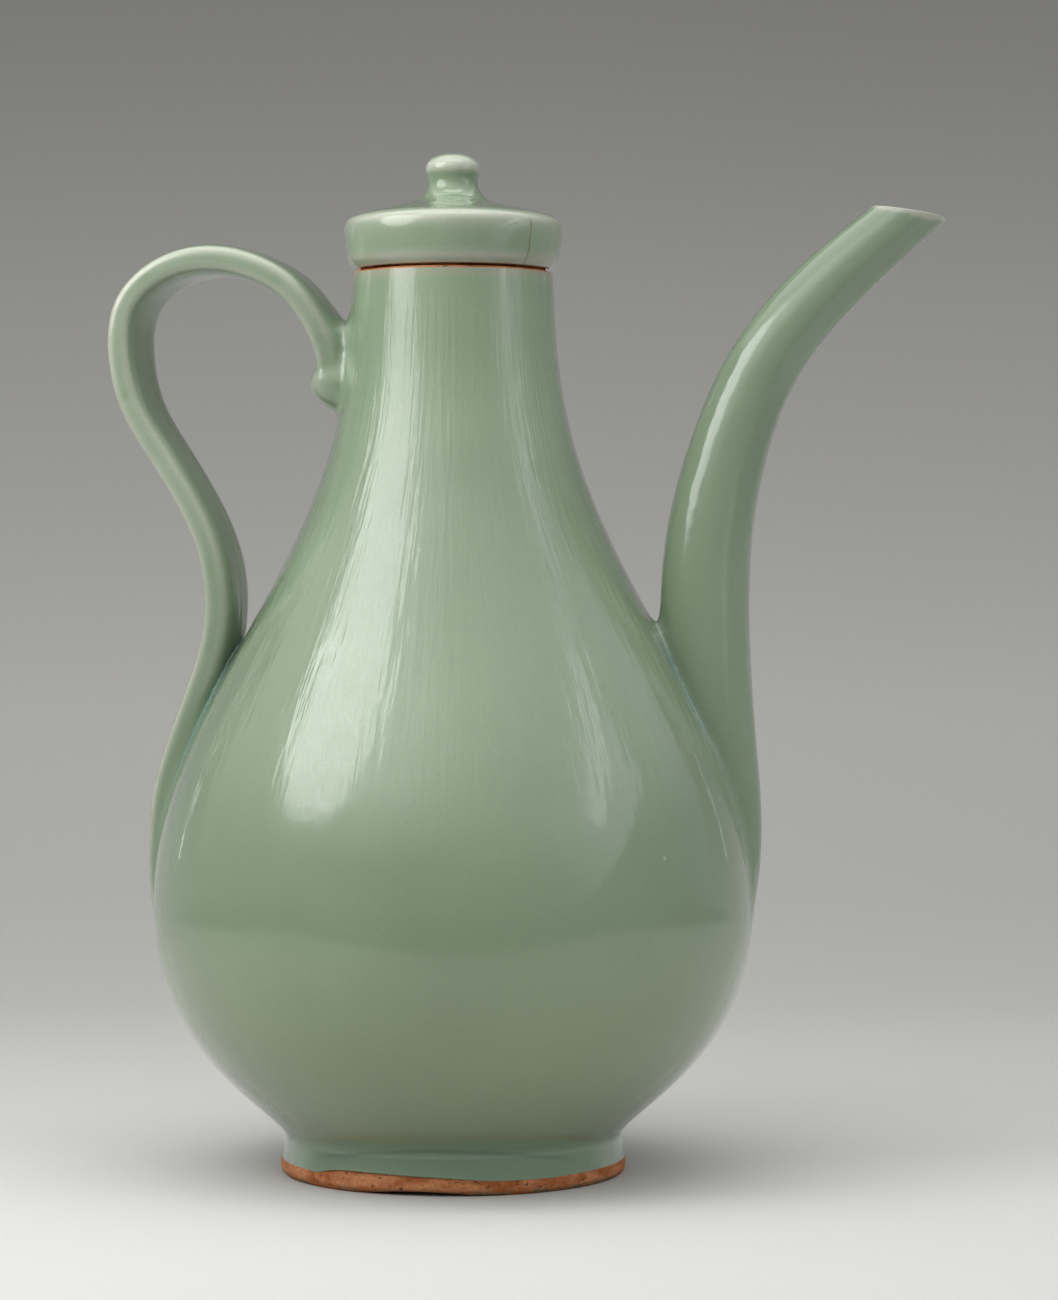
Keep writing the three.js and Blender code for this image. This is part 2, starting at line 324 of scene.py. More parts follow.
@dataclass
class GlazeField:
    """Surface that the glaze settles to over the body, spout and handle, as a distance from it."""

    curl_radius: float = 7.7
    curl_half_width: float = 11.0
    curl_reach: float = 4
    strap_lean: float = 0.13
    spout_reach: tuple = ((60, 9), (100, 8), (125, 5), (140, 3.6), (162, 3.6), (172, 7), (190, 8))
    strap_reach: tuple = (
        *((60, 6), (110, 5), (150, 4), (165, 4), (175, 6), (200, 7)),
        *((236, 9), (250, 9), (262, 11), (268, 15), (285, 15)),
    )

    def upright(self, points: np.ndarray) -> np.ndarray:
        """Places as they would be if the strap weren't leaning across the pot."""
        return points - np.outer(points[:, 1], (self.strap_lean, 0, 0))

    def near(self, points: np.ndarray) -> tuple[np.ndarray, np.ndarray]:
        """Nearest samples of the spout and of the strap for each point."""
        return SPOUT.nearest(points), STRAP.nearest(self.upright(points))

    def gaps(self, points: np.ndarray, near: tuple) -> tuple[np.ndarray, np.ndarray, np.ndarray]:
        """Distances from the bare body, spout and handle.

        Args:
            points: rows of x, y and z.
            near: nearest samples of the spout and of the strap.

        Returns:
            Three arrays of distances.
        """
        height = points[:, 2]
        slope = BODY.slope(height)[:, 0]
        body = (np.hypot(points[:, 0], points[:, 1]) - BODY.at(height)[:, 0]) / np.hypot(1, slope)
        leant = self.upright(points)
        x, z = STRAP.centres[0]
        beyond = np.maximum(np.abs(points[:, 1]) - (self.curl_half_width - self.curl_radius), 0)
        curl = np.sqrt((leant[:, 0] - x) ** 2 + (height - z) ** 2 + beyond**2) - self.curl_radius
        handle = soft_union(STRAP.gap(leant, near[1]), curl, self.curl_reach)
        return body, SPOUT.gap(points, near[0]), handle

    def gap(self, points: np.ndarray, near: tuple) -> np.ndarray:
        """Distance from the glazed surface, negative inside it."""
        body, spout, handle = self.gaps(points, near)
        height = points[:, 2]
        joined = soft_union(body, spout, np.interp(height, *zip(*self.spout_reach)))
        return soft_union(joined, handle, np.interp(height, *zip(*self.strap_reach)))

    def normal(self, points: np.ndarray, near: tuple, step: float = 0.02) -> np.ndarray:
        """Outward direction of the field at each point, not scaled to length 1.

        Args:
            points: rows of x, y and z.
            near: nearest samples of the spout and of the strap.
            step: distance over which the change is measured.

        Returns:
            One row for each point.
        """
        columns = [
            (self.gap(points + axis, near) - self.gap(points - axis, near)) / (2 * step)
            for axis in np.eye(3) * step
        ]
        return np.stack(columns, 1)


FIELD = GlazeField()


def positions(bm: BMesh) -> np.ndarray:
    """Places of a bmesh's vertices as rows."""
    return np.array([v.co for v in bm.verts], float).reshape(-1, 3)


def place_all(bm: BMesh, points: np.ndarray) -> None:
    """Move a bmesh's vertices to the given rows."""
    for vert, point in zip(bm.verts, points):
        vert.co = point


def radius_of(vert: BMVert) -> float:
    """Distance of a vertex from the turning axis."""
    return math.hypot(vert.co.x, vert.co.y)


def azimuth_of(vert: BMVert) -> float:
    """Azimuth of a vertex round the turning axis."""
    return math.degrees(math.atan2(vert.co.y, vert.co.x))


def even_out(bm: BMesh, verts: Sequence[BMVert]) -> None:
    """Move vertices half way to the middle of their neighbours."""
    bmesh.ops.smooth_vert(bm, verts=verts, factor=0.5, use_axis_x=True, use_axis_y=True, use_axis_z=True)


def mesh_of(name: str, bm: BMesh) -> Mesh:
    """Mesh made of a bmesh, which is used up."""
    mesh = bpy.data.meshes.new(name)
    bm.to_mesh(mesh)
    bm.free()
    return mesh


def add_part(whole: BMesh, part: BMesh) -> None:
    """Add one bmesh to another and use it up."""
    mesh = mesh_of("part", part)
    whole.from_mesh(mesh)
    bpy.data.meshes.remove(mesh)


def set_down(name: str, data: bpy.types.ID) -> Object:
    """Object of that mesh or camera, linked to the scene."""
    made = bpy.data.objects.new(name, data)
    bpy.context.scene.collection.objects.link(made)
    return made


def drawn_out(bm: BMesh, edges: Sequence[BMEdge]) -> tuple[list[BMEdge], list[BMVert]]:
    """Draw edges out into a new ring of faces, and return its edges and vertices, in no set order."""
    grown = bmesh.ops.extrude_edge_only(bm, edges=edges)["geom"]
    return [g for g in grown if isinstance(g, BMEdge)], [g for g in grown if isinstance(g, BMVert)]


def spun(outline: Sequence[tuple[float, float]], steps: int) -> BMesh:
    """Turn an outline round the pot's axis.

    Args:
        outline: points of radius and height, joined in order.
        steps: number of steps in the full turn.

    Returns:
        The turned surface, with its poles and seam closed and its faces outward.
    """
    bm = bmesh.new()
    verts = [bm.verts.new((radius, 0, height)) for radius, height in outline]
    edges = [bm.edges.new(pair) for pair in zip(verts, verts[1:])]
    turn = {"cent": (0, 0, 0), "axis": UP, "angle": 2 * math.pi, "steps": steps}
    bmesh.ops.spin(bm, geom=verts + edges, use_merge=True, **turn)
    bmesh.ops.remove_doubles(bm, verts=bm.verts, dist=WELD)
    bmesh.ops.recalc_face_normals(bm, faces=bm.faces)
    return bm


def lofted(bar: Bar, sides: int, steps: int) -> BMesh:
    """Closed bar drawn out section by section.

    Args:
        bar: the bar to follow.
        sides: corners of each section.
        steps: number of sections.

    Returns:
        The closed bar.
    """
    bm = bmesh.new()
    loop = bmesh.ops.create_circle(bm, cap_ends=False, segments=sides, radius=1)["verts"]
    for vert in loop:
        for axis in (0, 1):
            vert.co[axis] = math.copysign(abs(vert.co[axis]) ** (2 / bar.squareness), vert.co[axis])
    before = bar.loop_place(0)
    bmesh.ops.transform(bm, matrix=before, verts=loop)
    first = edges = list(bm.edges)
    for i in range(1, steps + 1):
        edges, loop = drawn_out(bm, edges)
        after = bar.loop_place(bar.length * i / steps)
        bmesh.ops.transform(bm, matrix=after @ before.inverted(), verts=loop)
        before = after
    bmesh.ops.holes_fill(bm, edges=first + edges, sides=0)
    bmesh.ops.recalc_face_normals(bm, faces=bm.faces)
    return bm


def fused(parts: Iterable[BMesh], grain: float) -> BMesh:
    """Join overlapping closed shapes into one skin of even small faces.

    Args:
        parts: the shapes, which are used up.
        grain: size of the new faces.

    Returns:
        The outer skin of all of them together.
    """
    whole = bmesh.new()
    for part in parts:
        add_part(whole, part)
    mesh = mesh_of("luted", whole)
    work = set_down("luted", mesh)
    remesh = work.modifiers.new("even", "REMESH")
    remesh.mode = "VOXEL"
    remesh.voxel_size = grain
    remesh.adaptivity = 0
    made = bpy.data.meshes.new_from_object(work.evaluated_get(bpy.context.evaluated_depsgraph_get()))
    skin = bmesh.new()
    skin.from_mesh(made)
    bpy.data.objects.remove(work)
    bpy.data.meshes.remove(mesh)
    bpy.data.meshes.remove(made)
    return skin


def rows_of(items: Sequence, key: str, width: int, kind: type = float) -> np.ndarray:
    """One property of a mesh's vertices or edges, a row for each."""
    values = np.empty(len(items) * width, kind)
    items.foreach_get(key, values)
    return values.reshape(-1, width)


def bending(mesh: Mesh, spread: int, outward: np.ndarray | None) -> np.ndarray:
    """How sharply a surface bends at each vertex: above 0 on outward edges and below 0 in hollows.

    Args:
        mesh: the surface, in millimetres.
        spread: number of times that the result is evened out over the neighbours.
        outward: outward direction at each vertex where it doesn't come from the faces.

    Returns:
        One number for each vertex, in 1 per millimetre. Edges marked as seams are left out.
    """
    count = len(mesh.vertices)
    points = rows_of(mesh.vertices, "co", 3)
    normals = rows_of(mesh.vertices, "normal", 3) if outward is None else outward
    shown = ~rows_of(mesh.edges, "use_seam", 1, bool)[:, 0]
    a, b = rows_of(mesh.edges, "vertices", 2, int)[shown].T
    across = points[b] - points[a]
    length = np.maximum((across**2).sum(1), 1e-8)
    number = np.maximum(np.bincount(a, minlength=count) + np.bincount(b, minlength=count), 1)
    fall_a = -2 * (across * normals[a]).sum(1) / length
    fall_b = 2 * (across * normals[b]).sum(1) / length
    bend = (np.bincount(a, fall_a, count) + np.bincount(b, fall_b, count)) / number
    for _ in range(spread):
        bend = (bend + (np.bincount(a, bend[b], count) + np.bincount(b, bend[a], count)) / number) / 2
    return bend


class NodeTree:
    """Small helper that lays the nodes of one material."""

    def __init__(self, name: str) -> None:
        """Start an empty material of that name."""
        self.material = bpy.data.materials.new(name)
        self.material.use_nodes = True
        self.material.node_tree.nodes.clear()

    def add(self, kind: str, feeds: dict | None = None, **settings: object) -> bpy.types.Node:
        """Add a node.

        Args:
            kind: the node's type.
            feeds: what goes into its sockets, by name or number.
            settings: the node's own settings.

        Returns:
            The node.
        """
        node = self.material.node_tree.nodes.new(kind)
        for key, value in settings.items():
            setattr(node, key, value)
        for key, value in (feeds or {}).items():
            self.join(value, node.inputs[key])
        return node

    def join(self, value: object, socket: NodeSocket) -> None:
        """Link an output to a socket, or set the socket to a plain value."""
        if isinstance(value, NodeSocket):
            self.material.node_tree.links.new(value, socket)
        elif socket.type == "RGBA":
            socket.default_value = (*value, 1)
        else:
            socket.default_value = value

    def place(self) -> NodeSocket:
        """Coordinates of the piece."""
        return self.add("ShaderNodeTexCoord").outputs["Object"]

    def parts(self, place: NodeSocket) -> dict:
        """Coordinates split up by name."""
        return self.add("ShaderNodeSeparateXYZ", {"Vector": place}).outputs

    def noise(self, place: NodeSocket, scale: float | tuple, detail: float) -> NodeSocket:
        """Cloudy noise from 0 to 1, of one scale or of one along each axis."""
        if isinstance(scale, tuple):
            place = self.add("ShaderNodeMapping", {"Vector": place, "Scale": scale}).outputs["Vector"]
            scale = 1
        feeds = {"Vector": place, "Scale": scale, "Detail": detail}
        return self.add("ShaderNodeTexNoise", feeds).outputs["Fac"]

    def vector(self, operation: str, first: object, second: object = (0, 0, 0)) -> NodeSocket:
        """Two rows of three numbers put through one operation."""
        return self.add("ShaderNodeVectorMath", {0: first, 1: second}, operation=operation).outputs[0]

    def length(self, place: NodeSocket) -> NodeSocket:
        """Length of a row of three numbers."""
        return self.add("ShaderNodeVectorMath", {0: place}, operation="LENGTH").outputs["Value"]

    def math(self, operation: str, first: object, second: object = 0) -> NodeSocket:
        """Two numbers put through one operation."""
        return self.add("ShaderNodeMath", {0: first, 1: second}, operation=operation).outputs[0]

    def times(self, *factors: object) -> NodeSocket:
        """Product of several numbers."""
        product, *rest = factors
        for factor in rest:
            product = self.math("MULTIPLY", product, factor)
        return product

    def from_axis(self, place: NodeSocket, keep: tuple = (1, 1, 1)) -> NodeSocket:
        """Coordinates counted from the turning axis, each multiplied by what is kept of it."""
        return self.vector("MULTIPLY", self.vector("SUBTRACT", place, tuple(AXIS)), keep)

    def round_axis(self, place: NodeSocket, turning: float, rising: float) -> NodeSocket:
        """Coordinates that run round the turning axis, so that a pattern on them follows a turned wall.

        Args:
            place: the coordinates.
            turning: how often the pattern repeats in a turn of one radian.
            rising: how often it repeats in a metre of height.

        Returns:
            The new coordinates.
        """
        unit = self.vector("NORMALIZE", self.from_axis(place, (1, 1, 0)))
        wide = self.vector("MULTIPLY", unit, (turning, turning, 0))
        return self.vector("ADD", wide, self.from_axis(place, (0, 0, rising)))

    def facing(self, place: NodeSocket, azimuth: float) -> dict:
        """Coordinates split up, with X from the turning axis towards an azimuth and Y across it."""
        turn = (0, 0, -math.radians(azimuth))
        moved = self.vector("SUBTRACT", place, tuple(AXIS))
        return self.parts(self.add("ShaderNodeMapping", {"Vector": moved, "Rotation": turn}).outputs[0])

    def spread(self, value: object, start: float, end: float, low: float = 0, high: float = 1) -> NodeSocket:
        """Carry the span from start to end over to the span from low to high, and hold it there."""
        feeds = {"Value": value, "From Min": start, "From Max": end, "To Min": low, "To Max": high}
        return self.add("ShaderNodeMapRange", feeds, interpolation_type="SMOOTHSTEP").outputs["Result"]

    def ramp(self, value: object, stops: Sequence[tuple], course: str = "EASE") -> NodeSocket:
        """Colour that changes with a number.

        Args:
            value: the number, from 0 to 1.
            stops: pairs of a place and a colour.
            course: how it goes from one stop to the next.

        Returns:
            The colour.
        """
        node = self.add("ShaderNodeValToRGB", {"Fac": value})
        bar = node.color_ramp
        bar.interpolation = course
        while len(bar.elements) < len(stops):
            bar.elements.new(1)
        for element, (place, colour) in zip(bar.elements, stops):
            element.position = place
            element.color = (*colour, 1)
        return node.outputs["Color"]

    def mix(self, share: object, first: object, second: object) -> NodeSocket:
        """Two colours mixed by a share of the second."""
        return self.add("ShaderNodeMix", {"Factor": share, 6: first, 7: second}, data_type="RGBA").outputs[2]

    def tinted(self, colour: object, shade: object) -> NodeSocket:
        """Colour made darker or lighter by a factor."""
        return self.vector("MULTIPLY", colour, shade)

    def relief(self, *layers: tuple) -> NodeSocket:
        """Normal with fine relief laid over it, given as pairs of a pattern and its depth."""
        normal = {}
        for height, depth in layers:
            feeds = {"Height": height, "Distance": depth, "Strength": 0.5, **normal}
            normal = {"Normal": self.add("ShaderNodeBump", feeds).outputs["Normal"]}
        return normal["Normal"]

    def surface(self, feeds: dict) -> NodeSocket:
        """Surface with the given values."""
        return self.add("ShaderNodeBsdfPrincipled", feeds).outputs["BSDF"]

    def backfacing(self) -> NodeSocket:
        """1 on the back of a face and 0 on its front."""
        return self.add("ShaderNodeNewGeometry").outputs["Backfacing"]

    def clear(self) -> NodeSocket:
        """Nothing to see."""
        return self.add("ShaderNodeBsdfTransparent").outputs["BSDF"]

    def finish(self, surface: NodeSocket) -> Material:
        """Material that shows the surface."""
        self.add("ShaderNodeOutputMaterial", {"Surface": surface})
        return self.material


@dataclass(frozen=True)
class CeladonGlaze:
    """Thick sea-green glaze: pale where it thins over edges, blue-green where it gathers in hollows."""

    name: str = "celadon_glaze"
    slot: str = "celadon_glaze"
    gathered: tuple = (0.150, 0.248, 0.188)
    even: tuple = (0.199, 0.272, 0.178)
    thin: tuple = (0.405, 0.425, 0.35)
    bends: tuple = (0.0, 0.2, 0.42, 0.56, 0.8, 1.0)
    # painted reflection: from low_top down to low_bottom the glaze turns warmer and yellower, for warm light
    # thrown up from the table
    low: tuple = (0.212, 0.272, 0.164)
    low_top: float = 105 * MM
    low_bottom: float = 45 * MM
    # paler neck near the axis: partly thinner glaze, partly painted light for the brighter light falling on
    # the top of the pot
    neck_bottom: float = 185 * MM
    neck_top: float = 265 * MM
    neck_out: tuple = (43 * MM, 37 * MM)
    neck_shade: float = 1.10
    foot_tint: tuple = (0.188, 0.270, 0.178)
    foot_top: float = 22 * MM
    foot_fade: float = 6 * MM
    mouth: float = 287.3 * MM
    mouth_reach: float = 6 * MM
    mouth_share: float = 0.7
    mouth_tint: tuple = (0.34, 0.33, 0.25)
    pooled: tuple = (0.085, 0.155, 0.11)
    line_turn: float = -87
    line_height: float = 13.9 * MM
    line_fall: float = 0.003
    line_edge: tuple = (1.3 * MM, 0.15 * MM)
    line_out: tuple = (33 * MM, 46 * MM)
    line_strength: float = 0.45
    stain: tuple = (0.13, 0.085, 0.035)
    crack_turn: float = -39
    crack_low: tuple = (287.5 * MM, 288.5 * MM)
    crack_high: tuple = (304 * MM, 300 * MM)
    crack_edge: tuple = (0.42 * MM, 0.1 * MM)
    crack_out: tuple = (10 * MM, 20 * MM)
    crack_waver: float = 0.8 * MM
    crack_waver_scale: tuple = (0, 0, 180)
    crack_strength: float = 0.6
    speck: tuple = (0.42, 0.46, 0.36)
    speck_scale: float = 38
    speck_edge: tuple = (0.035, 0.015)
    speck_choice: tuple = (0.80, 0.84)
    speck_strength: float = 0.6
    cloud_scale: float = 14
    cloud: tuple = (0.95, 1.05)
    grain_scale: float = 1500
    grain: tuple = (0.97, 1.03)
    waves: float = 0.22 * MM
    wave_scale: tuple = (60, 60, 24)
    rings: float = 0.03 * MM
    ring_scale: tuple = (0.8, 150)
    streaks: float = 0.5 * MM
    streak_scale: tuple = (24, 38)
    streak_bottom: float = 140 * MM
    streak_fade: float = 20 * MM
    blotches: float = 0.6
    blotch_scale: float = 125
    peel: float = 0.02 * MM
    peel_scale: float = 420
    roughness: float = 0.16
    underlayer: float = 0.22
    coat: float = 1.0
    coat_roughness: float = 0.04
    depth: float = 0.15
    depth_reach: float = 1.5 * MM
    depth_tint: tuple = (1.0, 1.2, 0.9)

    def material(self) -> Material:
        """Finished material."""
        tree = NodeTree(self.name)
        place = tree.place()
        height = tree.parts(place)["Z"]
        relief = self.relief(tree, place, height)
        feeds = {
            "Base Color": self.colour(tree, place, height),
            "Normal": relief,
            "Coat Normal": relief,
            "Roughness": self.roughness,
            "Specular IOR Level": self.underlayer,
            "Coat Weight": self.coat,
            "Coat Roughness": self.coat_roughness,
            "Subsurface Weight": self.depth,
            "Subsurface Radius": self.depth_tint,
            "Subsurface Scale": self.depth_reach,
        }
        return tree.finish(tree.surface(feeds))

    def colour(self, tree: NodeTree, place: NodeSocket, height: NodeSocket) -> NodeSocket:
        """Colour by thickness, with its drift from foot to mouth and its small marks; the drift holds painted
        light: a warmer tone low down for light reflected up from the table, and a paler neck that is partly
        thinner glaze and partly painted light.

        Args:
            tree: the material's nodes.
            place: the piece's coordinates.
            height: how high each point lies.

        Returns:
            The colour.
        """
        bend = tree.add("ShaderNodeAttribute", attribute_name="glaze_bend").outputs["Fac"]
        colours = (self.gathered, self.gathered, self.even, self.even, self.thin, self.thin)
        colour = tree.ramp(bend, list(zip(self.bends, colours)))
        # painted reflection: warmer, yellower glaze towards the bottom, for warm light thrown up from the
        # table; the clay is not burnt here
        burnt = tree.spread(height, self.low_top, self.low_bottom)
        colour = tree.tinted(colour, tree.mix(burnt, (1, 1, 1), [a / b for a, b in zip(self.low, self.even)]))
        # painted light, partly thinner glaze: neck_shade makes the neck near the axis paler
        out = tree.length(tree.from_axis(place, (1, 1, 0)))
        narrow = tree.spread(out, *self.neck_out)
        neck = tree.times(tree.spread(height, self.neck_bottom, self.neck_top), narrow)
        colour = tree.tinted(colour, tree.spread(neck, 0, 1, 1, self.neck_shade))
        foot = tree.spread(height, self.foot_top, self.foot_top - self.foot_fade)
        colour = tree.mix(foot, colour, self.foot_tint)
        colour = tree.mix(self.pooled_line(tree, place), colour, self.pooled)
        off_mouth = tree.math("ABSOLUTE", tree.math("SUBTRACT", height, self.mouth))
        mouth = tree.times(tree.spread(off_mouth, self.mouth_reach, 0, 0, self.mouth_share), neck)
        colour = tree.mix(mouth, colour, self.mouth_tint)
        colour = tree.mix(self.hairline(tree, place), colour, self.stain)
        colour = tree.mix(self.specks(tree, place), colour, self.speck)
        cloud = tree.spread(tree.noise(place, self.cloud_scale, 3), *NOISE_SPAN, *self.cloud)
        grain = tree.spread(tree.noise(place, self.grain_scale, 2), *NOISE_SPAN, *self.grain)
        return tree.tinted(colour, tree.times(cloud, grain))

    def relief(self, tree: NodeTree, place: NodeSocket, height: NodeSocket) -> NodeSocket:
        """Slow waves, throwing rings, runs of glaze down the wall and fine peel.

        Args:
            tree: the material's nodes.
            place: the piece's coordinates.
            height: how high each point lies.

        Returns:
            The normal.
        """
        streak = tree.noise(tree.round_axis(place, *self.streak_scale), 1, 3)
        blotch = tree.times(tree.noise(place, self.blotch_scale, 1), self.blotches)
        above = tree.spread(height, self.low_top, self.streak_bottom)
        below = tree.spread(height, self.mouth, self.mouth - self.streak_fade)
        return tree.relief(
            (tree.noise(place, self.wave_scale, 2), self.waves),
            (tree.noise(tree.round_axis(place, *self.ring_scale), 1, 2), self.rings),
            (tree.times(tree.math("ADD", streak, blotch), above, below), self.streaks),
            (tree.noise(place, self.peel_scale, 2), self.peel),
        )

    def pooled_line(self, tree: NodeTree, place: NodeSocket) -> NodeSocket:
        """Strength of the arched line where the glaze pooled in the hollow above the foot."""
        parts = tree.facing(place, self.line_turn)
        fall = tree.times(tree.times(parts["Y"], parts["Y"]), self.line_fall / MM)
        off = tree.math("ADD", tree.math("SUBTRACT", parts["Z"], self.line_height), fall)
        line = tree.spread(tree.math("ABSOLUTE", off), *self.line_edge)
        return tree.times(line, tree.spread(parts["X"], *self.line_out), self.line_strength)

    def hairline(self, tree: NodeTree, place: NodeSocket) -> NodeSocket:
        """Strength of the short stained crack down the side of the lid."""
        parts = tree.facing(place, self.crack_turn)
        waver = tree.noise(place, self.crack_waver_scale, 2)
        across = tree.math("ADD", parts["Y"], tree.spread(waver, 0, 1, -self.crack_waver, self.crack_waver))
        line = tree.spread(tree.math("ABSOLUTE", across), *self.crack_edge)
        line = tree.times(line, tree.spread(parts["X"], *self.crack_out))
        above, below = (tree.spread(parts["Z"], *ends) for ends in (self.crack_low, self.crack_high))
        return tree.times(line, tree.times(above, below), self.crack_strength)

    def specks(self, tree: NodeTree, place: NodeSocket) -> NodeSocket:
        """Strength of the few pale specks in the glaze."""
        cells = tree.add("ShaderNodeTexVoronoi", {"Vector": place, "Scale": self.speck_scale}).outputs
        chosen = tree.spread(tree.parts(cells["Color"])["X"], *self.speck_choice)
        return tree.times(tree.spread(cells["Distance"], *self.speck_edge), chosen, self.speck_strength)


@dataclass(frozen=True)
class BareClay:
    """Unglazed stoneware that the kiln has burnt orange, with pits and dark specks."""

    name: str = "bare_clay"
    slot: str = "bare_clay"
    burnt: tuple = (0.33, 0.100, 0.030)
    pale: tuple = (0.52, 0.215, 0.095)
    olive: tuple = (0.17, 0.12, 0.065)
    dark: tuple = (0.05, 0.03, 0.02)
    blotch_scale: tuple = (110, 110, 260)
    blotch_edge: tuple = (0.35, 0.62)
    # olive patches on the lowest two millimetres of the foot
    olive_top: tuple = (2.2 * MM, 0.8 * MM)
    olive_patch_edge: tuple = (0.4, 0.55)
    pit_scale: tuple = (420, 420, 800)
    pit_edge: tuple = (0.63, 0.67)
    pit_share: float = 0.8
    pit_depth: float = 0.3 * MM
    grit_scale: float = 1100
    grit: tuple = (0.85, 1.15)
    grit_height: float = 0.15 * MM
    roughness: float = 0.75
    shine: float = 0.2

    def material(self) -> Material:
        """Finished material."""
        tree = NodeTree(self.name)
        place = tree.place()
        blotch = tree.noise(place, self.blotch_scale, 4)
        grit = tree.noise(place, self.grit_scale, 3)
        pits = tree.noise(place, self.pit_scale, 4)
        colour = tree.ramp(blotch, list(zip(self.blotch_edge, (self.burnt, self.pale))))
        # olive patches on the lowest two millimetres of the foot
        olive_low = tree.spread(tree.parts(place)["Z"], *self.olive_top)
        olive_low = tree.times(olive_low, tree.spread(blotch, *self.olive_patch_edge))
        colour = tree.mix(olive_low, colour, self.olive)
        colour = tree.mix(tree.spread(pits, *self.pit_edge, 0, self.pit_share), colour, self.dark)
        feeds = {
            "Base Color": tree.tinted(colour, tree.spread(grit, *NOISE_SPAN, *self.grit)),
            "Normal": tree.relief((grit, self.grit_height), (pits, -self.pit_depth)),
            "Roughness": self.roughness,
            "Specular IOR Level": self.shine,
        }
        return tree.finish(tree.surface(feeds))


@dataclass(frozen=True)
class Paper:
    """Pale matt paper of the studio floor and backdrop, with painted light in its greys: partly graduated
    paper and partly painted falloff from pale at the front to darker at the back, painted shade towards the
    right, and painted shade past the table's edges for the unlit room beyond.
    """

    name: str = "studio_paper"
    # painted light: greys that fall from pale at the front to darker at the back, partly graduated paper and
    # partly painted falloff of the studio light
    shades: tuple = (
        *((-0.4, 0.53), (-0.06, 0.57), (0.05, 0.53), (0.31, 0.47), (0.47, 0.43), (0.72, 0.40)),
        *((1.0, 0.405), (1.23, 0.352), (1.41, 0.315), (1.6, 0.25), (1.9, 0.205)),
    )
    near_tint: tuple = (1, 1, 1)
    far_tint: tuple = (1, 0.985, 0.93)
    # painted shade: past the table's front and side edges the paper is this dark, for the unlit room beyond
    # the table
    front: tuple = (0.24, 0.24, 0.24)
    table_edge: float = -0.42
    table_side: float = 0.72
    edge_fade: float = 0.03
    side_depth: tuple = (0.6, 0.4)
    # painted shade: the paper darkens a little towards the right, away from the left light
    right_reach: float = 0.35
    painted_right_shade: float = 0.98
    fibre_scale: float = 300
    fibre_span: tuple = (0.2, 0.8)
    fibre: tuple = (0.99, 1.01)
    roughness: float = 0.9
    shine: float = 0.2

    def material(self) -> Material:
        """Finished material, which can be seen through from behind."""
        tree = NodeTree(self.name)
        place = tree.place()
        parts = tree.parts(place)
        # painted falloff of the light, partly graduated paper: pale at the front, darker at the back
        start, end = self.shades[0][0], self.shades[-1][0]
        stops = []
        for depth, shade in self.shades:
            share = (depth - start) / (end - start)
            tint = [near + (far - near) * share for near, far in zip(self.near_tint, self.far_tint)]
            stops.append((share, tuple(shade * part for part in tint)))
        back = tree.math("DIVIDE", tree.math("SUBTRACT", parts["Y"], start), end - start)
        colour = tree.ramp(back, stops, "LINEAR")
        # painted shade past the table's front and side edges, for the unlit room beyond
        edge, side, fade = self.table_edge, self.table_side, self.edge_fade
        past_front = tree.spread(parts["Y"], edge + fade, edge - fade)
        past_side = tree.spread(tree.math("ABSOLUTE", parts["X"]), side - fade, side + fade)
        beside = tree.times(past_side, tree.spread(parts["Y"], *self.side_depth))
        colour = tree.mix(tree.math("MAXIMUM", past_front, beside), colour, self.front)
        fibre = tree.spread(tree.noise(place, self.fibre_scale, 4), *self.fibre_span, *self.fibre)
        colour = tree.tinted(colour, fibre)
        # painted shade towards the right
        colour = tree.tinted(colour, tree.spread(parts["X"], 0, self.right_reach, 1, self.painted_right_shade))
        surface = tree.surface(
            {"Base Color": colour, "Roughness": self.roughness, "Specular IOR Level": self.shine}
        )
        feeds = {0: tree.backfacing(), 1: surface, 2: tree.clear()}
        return tree.finish(tree.add("ShaderNodeMixShader", feeds).outputs["Shader"])


class Body(Enum):
    """The two bodies that the pieces ride on."""

    VESSEL = "vessel"
    LID = "lid"


@dataclass
class Workshop:
    """Finishes that the pieces share, and the steps that turn a worked mesh into a piece."""

    glaze: CeladonGlaze = CeladonGlaze()
    clay: BareClay = BareClay()
    materials: dict = field(default_factory=dict)

    def covering(self, finish: CeladonGlaze | BareClay) -> Material:
        """Material of a finish, made when it is first wanted."""
        if finish.name not in self.materials:
            self.materials[finish.name] = finish.material()
        return self.materials[finish.name]

    def piece(
        self,
        name: str,
        bm: BMesh,
        body: Body,
        finish: CeladonGlaze | BareClay,
        replaces: Sequence[str] = (),
        spread: int = 4,
        thinness: float = 0,
        normals: Sequence | None = None,
    ) -> Object:
        """Finish a mesh as a piece of the ewer.

        Args:
            name: name of the piece.
            bm: its shape in millimetres, which is used up.
            body: what it moves with.
            finish: what covers it.
            replaces: nodes that it stands for.
            spread: how far the glaze runs from its edges, in faces.
            thinness: how much thinner the glaze lies all over than on the body, from 0 to 0.5.
            normals: outward direction at each vertex where it doesn't come from the faces.

        Returns:
            The piece, in place.
        """
        rows = None if normals is None else np.array([tuple(row) for row in normals])
        mesh = mesh_of(name, bm)
        mesh.shade_smooth()
        level = mesh.attributes.new("glaze_bend", "FLOAT", "POINT")
        bend = np.clip(0.5 + thinness + bending(mesh, spread, rows), 0, 1)
        level.data.foreach_set("value", bend.astype(np.float32))
        mesh.transform(TO_FRAME)
        if rows is not None:
            mesh.normals_split_custom_set_from_vertices(rows)
        made = set_down(name, mesh)
        mesh.materials.append(self.covering(finish))
        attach(made, body.value)
        if replaces:
            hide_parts(*replaces)
        log.info("%s: %d faces, rides on %s", name, len(mesh.polygons), body.value)
        return made


class Coat(NamedTuple):
    """One piece of the glazed skin: its name, the nodes that it replaces and how thin its glaze lies."""

    name: str
    replaces: tuple
    thinness: float


